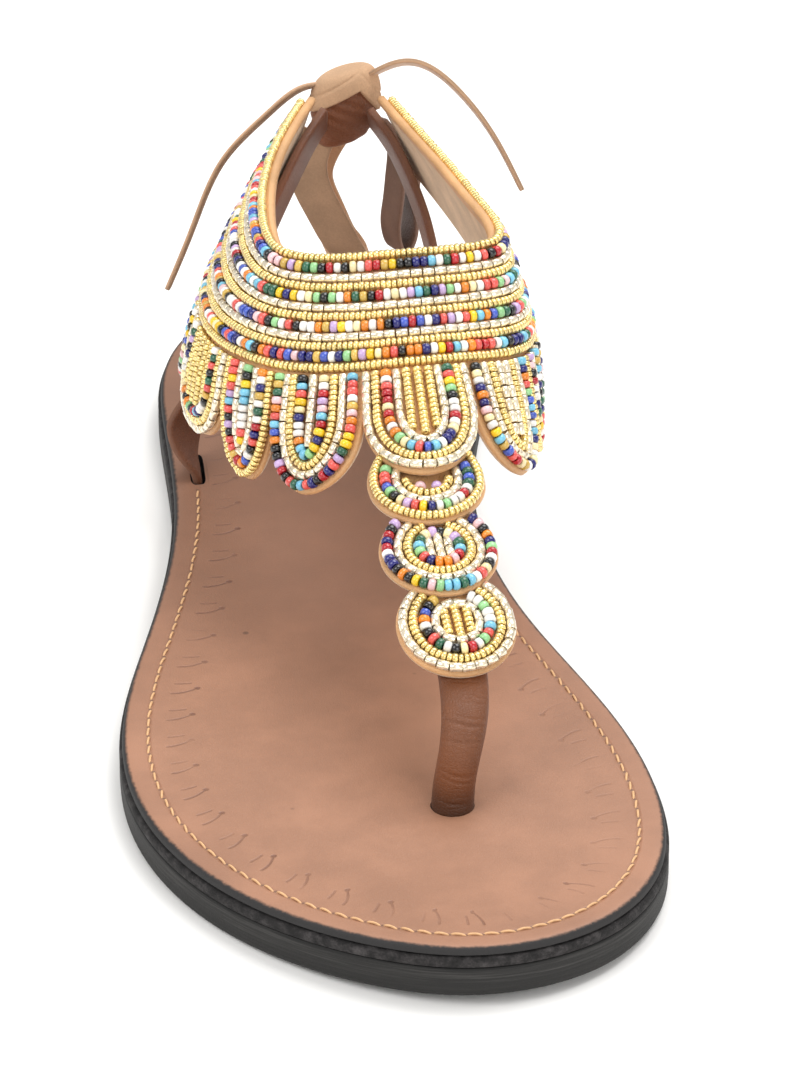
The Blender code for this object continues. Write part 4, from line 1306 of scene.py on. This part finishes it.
class SANDAL_OT_heel_straps(bpy.types.Operator):
    """Make the two heel straps and the knot"""
    bl_idname = "sandal.heel_straps"
    bl_label = "Heel straps and knot"

    def execute(self, context):
        settings = context.scene.sandal_straps
        # the heel straps take darkened leather colours: painted shade inside the collar
        paint = strap_paint("heel_leather", settings.strap_shade_colour, settings.strap_back_shade)
        for name, rows, facing in (("heel_tie_lateral", HEEL_TIE_OUTER, OUTER_FACING),
                                   ("heel_tie_medial", HEEL_TIE_INNER, INNER_FACING)):
            path = smooth_path(rows, 90)
            run = run_of(path)
            turns = np.array(TIE_TURNS) * (1.0, 1.0, np.sign(facing[1]), 1.0)
            turns = np.vstack([turns, [(TURN_END, *facing)]])
            face = unit(read(run, turns[:, 0], turns[:, 1:]))
            narrow = 1 - STRAP_NARROW * smoothstep((run - run[-1] + NARROW_LENGTH) / NARROW_LENGTH)
            points, faces, length, side = sweep(path, face, settings.strap_width / MM / 2 * narrow,
                                                settings.strap_thick / MM / 2)
            obj = put_mesh(name + "_leather", place(points), faces, paint, {"run": length, "side": -side})
            settle(obj, "strap_leather", name)
        self.knot(settings)
        return {'FINISHED'}

    def knot(self, settings):
        """A blunt ellipsoid, radius = sine of the tilt to the power 0.45, that leans up to the inner side.
        Above a line shaped like a roof it is thicker by one leather and turns its suede out, as the strap's
        fold."""
        # below the fold the knot takes the dark knot colour: painted shade
        paint = strap_paint("knot_leather", settings.knot_shade_colour, settings.suede_colour)
        rings, around = 110, 144
        tilt = np.linspace(0.03, math.pi - 0.03, rings)[:, None]
        turn = np.linspace(0, 2 * math.pi, around, endpoint=False)[None]
        waist = np.sin(tilt) ** 0.45
        centre, half = np.array(KNOT_CENTRE), np.array(KNOT_HALF) * KNOT_CORE
        ball = np.broadcast_arrays(waist * np.cos(turn), waist * np.sin(turn), -np.cos(tilt))
        shape = np.stack(ball, axis=-1) * half
        shape[..., 2] += KNOT_LEAN * shape[..., 1]
        ridge, outer_slope, inner_slope, high = KNOT_FOLD
        aside = shape[..., 1] - ridge
        over = shape[..., 2] - high + np.where(aside < 0, -outer_slope * aside, inner_slope * aside)
        cover = smoothstep(over / FOLD_EDGE + 0.5)
        crease = FOLD_CREASE * np.exp(-((over - FOLD_CREASE_UP - 0.5 * np.sin(turn)) / 0.3) ** 2)
        wrinkle = KNOT_WRINKLE * np.sin(2.6 * shape[..., 2] + 1.1 * shape[..., 1]) * (1 - cover)
        out = np.stack(np.broadcast_arrays(np.cos(turn), np.sin(turn), 0 * tilt), axis=-1)
        shape = shape + out * (waist * (KNOT_LEATHER * cover - crease + wrinkle))[..., None]
        ends = centre + np.array(((0, 0, -half[2]), (0, 0, half[2])))
        points = np.vstack([(centre + shape).reshape(-1, 3), ends])
        side = np.append(1 - 2 * cover.ravel(), (1.0, -1.0))
        obj = put_mesh("tie_knot_leather", place(points), tube_faces(rings, around), paint, {"side": side})
        settle(obj, "strap_leather", "tie_knot")


class SANDAL_OT_upper(bpy.types.Operator):
    """Make the collar's leather and the three leather discs"""
    bl_idname = "sandal.upper"
    bl_label = "Upper leather"

    def execute(self, context):
        settings = context.scene.sandal_beads
        paint = strap_paint("collar_leather", settings.backing_colour, settings.lining_colour, 1500.0)
        settle(self.collar(paint), "upper", "upper")
        for number in range(len(DISC_RINGS)):
            settle(self.disc(number, paint), "upper")
        settle(self.neck(paint), "upper")
        settle(self.rim(paint), "upper")
        return {'FINISHED'}

    def collar(self, paint):
        """The wall: columns round the ankle, each from the rim down to the petal's edge, as an outer and an
        inner sheet, with a rounded edge between them."""
        share = np.sin(np.linspace(-math.pi / 2, math.pi / 2, 30))[:-1]
        tail = np.append(PETAL_EDGES[-1], np.linspace(PETAL_EDGES[-1] + 0.08, COLLAR_END, 10))
        flat = np.full(10, TAIL_LEVEL)
        petals = [centre + share * half for _, centre, half in petal_list()]
        rows = np.concatenate([-tail[:0:-1]] + petals + [tail])
        lows = np.concatenate([flat, np.tile(petal_low(share), len(petals)), [NOTCH_LEVEL], flat])
        down = np.concatenate([np.linspace(0, 0.16, 17), np.linspace(0.16, 1, 18)[1:],
                               1 + np.linspace(0, 1, 16)[1:] ** 0.9])
        level = np.where(down[None] <= 1, down[None], 1 + (down[None] - 1) * (lows[:, None] - 1))
        row = np.repeat(rows[:, None], level.shape[1], axis=1)
        face, out = collar_face(row, level), collar_out(row, level)
        bound = 1 - smoothstep((level - BINDING_LEVEL) / 0.02)
        outer = face - out * LEATHER_TOP
        inner = face - out * (WALL + BINDING_THICK * bound)[..., None]
        middle = (outer + inner) / 2
        top = middle[:, :1] + EDGE_ROUND * unit(middle[:, :1] - middle[:, 1:2])
        foot = middle[:, -1:] + EDGE_ROUND * unit(middle[:, -1:] - middle[:, -2:-1])
        sheet = np.concatenate([top, outer, foot, inner[:, ::-1]], axis=1)
        lone = np.ones((len(rows), 1))
        side = np.hstack([0.6 * lone, np.ones_like(level), 0.2 * lone, 2 * bound[:, ::-1] - 1])
        return put_mesh("collar_leather", place(sheet.reshape(-1, 3)), barrel_faces(*sheet.shape[:2]), paint,
                        {"side": side})

    def disc(self, number, paint):
        """A round plate: rings of points from the middle of its top over its edge to the middle of its back."""
        steps, around = 12, 72
        flat = np.linspace(0.02, 0.985, steps)
        radii = np.concatenate([flat, [1.0], np.linspace(0.985, 0.02, steps)])[:, None] * PLATE_RADIUS
        parts = (steps * around, around, steps * around)
        depth = np.repeat((-LEATHER_TOP, -(LEATHER_TOP + WALL) / 2, -WALL), parts)
        side = np.repeat((1.0, 0.2, -1.0), parts)
        turn = np.linspace(0, 2 * math.pi, around, endpoint=False)[None]
        t = disc_middle(number) + radii * np.cos(turn)
        points, _ = disc_point(number, t.ravel(), (radii * np.sin(turn)).ravel(), depth)
        faces = barrel_faces(2 * steps + 1, around)
        return put_mesh("disc_leather_%d" % (number + 1), place(points), faces, paint, {"side": side})

    def neck(self, paint):
        """The strap's narrow end under the middle petal."""
        t = np.linspace(NECK_START, run_of(np.asarray(STRAP_LINE))[-1], 24)
        middle, _, _, out = strap_frame(t)
        points, faces, _, side = sweep(middle - out * NECK_DEPTH, out, *NECK_HALF)
        return put_mesh("strap_neck", place(points), faces, paint, {"side": side})

    def rim(self, paint):
        """Rolled edge along the top of the collar: a round cord over the rim."""
        row = np.linspace(-COLLAR_END, COLLAR_END, 400)
        level = np.full(400, RIM_LEVEL)
        path = collar_face(row, level) - collar_out(row, level) * RIM_DEPTH
        points, faces, _, _ = sweep(path, np.tile((0.0, 0.0, 1.0), (400, 1)), *RIM_HALF, 14, ROUND)
        return put_mesh("collar_rim", place(points), faces, paint, {"side": np.full(len(points), 0.6)})


class SANDAL_OT_beads(bpy.types.Operator):
    """String all the beads on collar, petals and discs"""
    bl_idname = "sandal.beads"
    bl_label = "Beads"

    def execute(self, context):
        settings = context.scene.sandal_beads
        tray = BeadTray(settings)
        band_rows(tray)
        petal_rows(tray)
        disc_rows(tray)
        chance = np.random.default_rng(settings.seed)
        paints = {
            "G": bead_paint("gold_beads", settings.gold_colour, 0.62, 0.15, 0.9),
            "S": bead_paint("silver_tubes", settings.silver_colour, 0.6, 0.15, 0.9),
            "M": bead_paint("mixed_beads", None, 0.0, 0.14, 0.5),
        }
        for kind, name in BEAD_KINDS.items():
            beads = np.vstack(tray.rows[kind])
            count = len(beads)
            axis = unit(beads[:, 3:6] + chance.normal(0, BEAD_TILT, (count, 3)))
            out = square_to(axis, beads[:, 6:9])
            centre = beads[:, 0:3] + out * chance.normal(0, BEAD_LIFT, (count, 1))
            radius = tray.size[kind] / 2 * chance.normal(1.0, SIZE_SPREAD, count)
            half = tray.pitch[kind] / 2 * chance.normal(1.0, LENGTH_SPREAD, count)
            colours = self.mixed(chance, count) if kind == "M" else None
            around, outline = BEAD_SHAPES[kind]
            beads = np.hstack([centre, axis, out])
            bead_mesh("beads_" + name, beads, outline, radius, half, around, paints[kind], colours)
        return {'FINISHED'}

    def mixed(self, chance, count):
        """A colour for each bead, drawn by the colours' shares and made a little lighter or darker."""
        table = np.asarray(MIXED_COLOURS)
        pick = chance.choice(len(table), count, p=table[:, 0] / table[:, 0].sum())
        colours = np.array([linear(*row[1:]) for row in table])[pick]
        return np.clip(colours * chance.uniform(0.85, 1.1, (count, 1)), 0, 1)


class SANDAL_OT_stage(bpy.types.Operator):
    """Lay the pale floor and set soft studio light"""
    bl_idname = "sandal.stage"
    bl_label = "Stage"

    def execute(self, context):
        settings = context.scene.sandal_stage
        scene = context.scene
        side = np.linspace(-4.0, 4.0, 9)
        x, y = np.meshgrid(side, side, indexing="ij")
        points = np.stack([x, y, np.full_like(x, FLOOR_UP)], axis=-1).reshape(-1, 3)
        mesh = bpy.data.meshes.new("floor")
        mesh.from_pydata(points.tolist(), [], grid_quads(9, 9).tolist())
        mesh.materials.append(floor_paint(settings.floor_colour))
        floor = bpy.data.objects.new("floor", mesh)
        scene.collection.objects.link(floor)
        scene.world = bpy.data.worlds.new("studio")
        scene.world.use_nodes = True
        sky = scene.world.node_tree.nodes["Background"].inputs
        sky["Color"].default_value = (1.0, 0.99, 0.975, 1.0)
        sky["Strength"].default_value = settings.sky
        for name, share, size, where, look in LIGHTS:
            data = bpy.data.lights.new(name, 'AREA')
            data.energy = settings.key * share
            data.size = size
            light = bpy.data.objects.new(name, data)
            light.location = where
            light.rotation_mode = 'QUATERNION'
            light.rotation_quaternion = (Vector(look) - Vector(where)).to_track_quat('-Z', 'Y')
            scene.collection.objects.link(light)
        scene.view_settings.view_transform = 'Standard'
        return {'FINISHED'}


class SANDAL_PT_panel(bpy.types.Panel):
    """Buttons for the sandal's pieces"""
    bl_idname = "SANDAL_PT_panel"
    bl_label = "Beaded Sandal"
    bl_space_type = 'VIEW_3D'
    bl_region_type = 'UI'
    bl_category = "Sandal"

    def draw(self, context):
        column = self.layout.column()
        for operator in OPERATORS:
            column.operator(operator.bl_idname)


OPERATORS = (SANDAL_OT_camera, SANDAL_OT_tie, SANDAL_OT_sole, SANDAL_OT_insole, SANDAL_OT_stitching,
             SANDAL_OT_toe_post, SANDAL_OT_heel_straps, SANDAL_OT_upper, SANDAL_OT_beads, SANDAL_OT_stage)
SETTINGS = (("sandal_sole", SandalSole), ("sandal_beads", SandalBeads), ("sandal_straps", SandalStraps),
            ("sandal_stage", SandalStage))


def register():
    """Add the settings, operators and panel."""
    for name, group in SETTINGS:
        bpy.utils.register_class(group)
        setattr(bpy.types.Scene, name, PointerProperty(type=group))
    for cls in OPERATORS + (SANDAL_PT_panel,):
        bpy.utils.register_class(cls)


def unregister():
    """Take them away again."""
    for cls in (SANDAL_PT_panel,) + OPERATORS[::-1]:
        bpy.utils.unregister_class(cls)
    for name, group in SETTINGS[::-1]:
        delattr(bpy.types.Scene, name)
        bpy.utils.unregister_class(group)


def main():
    """Build every piece in order."""
    register()
    for operator in OPERATORS:
        group, name = operator.bl_idname.split(".")
        getattr(getattr(bpy.ops, group), name)()


if __name__ == "__main__":
    main()
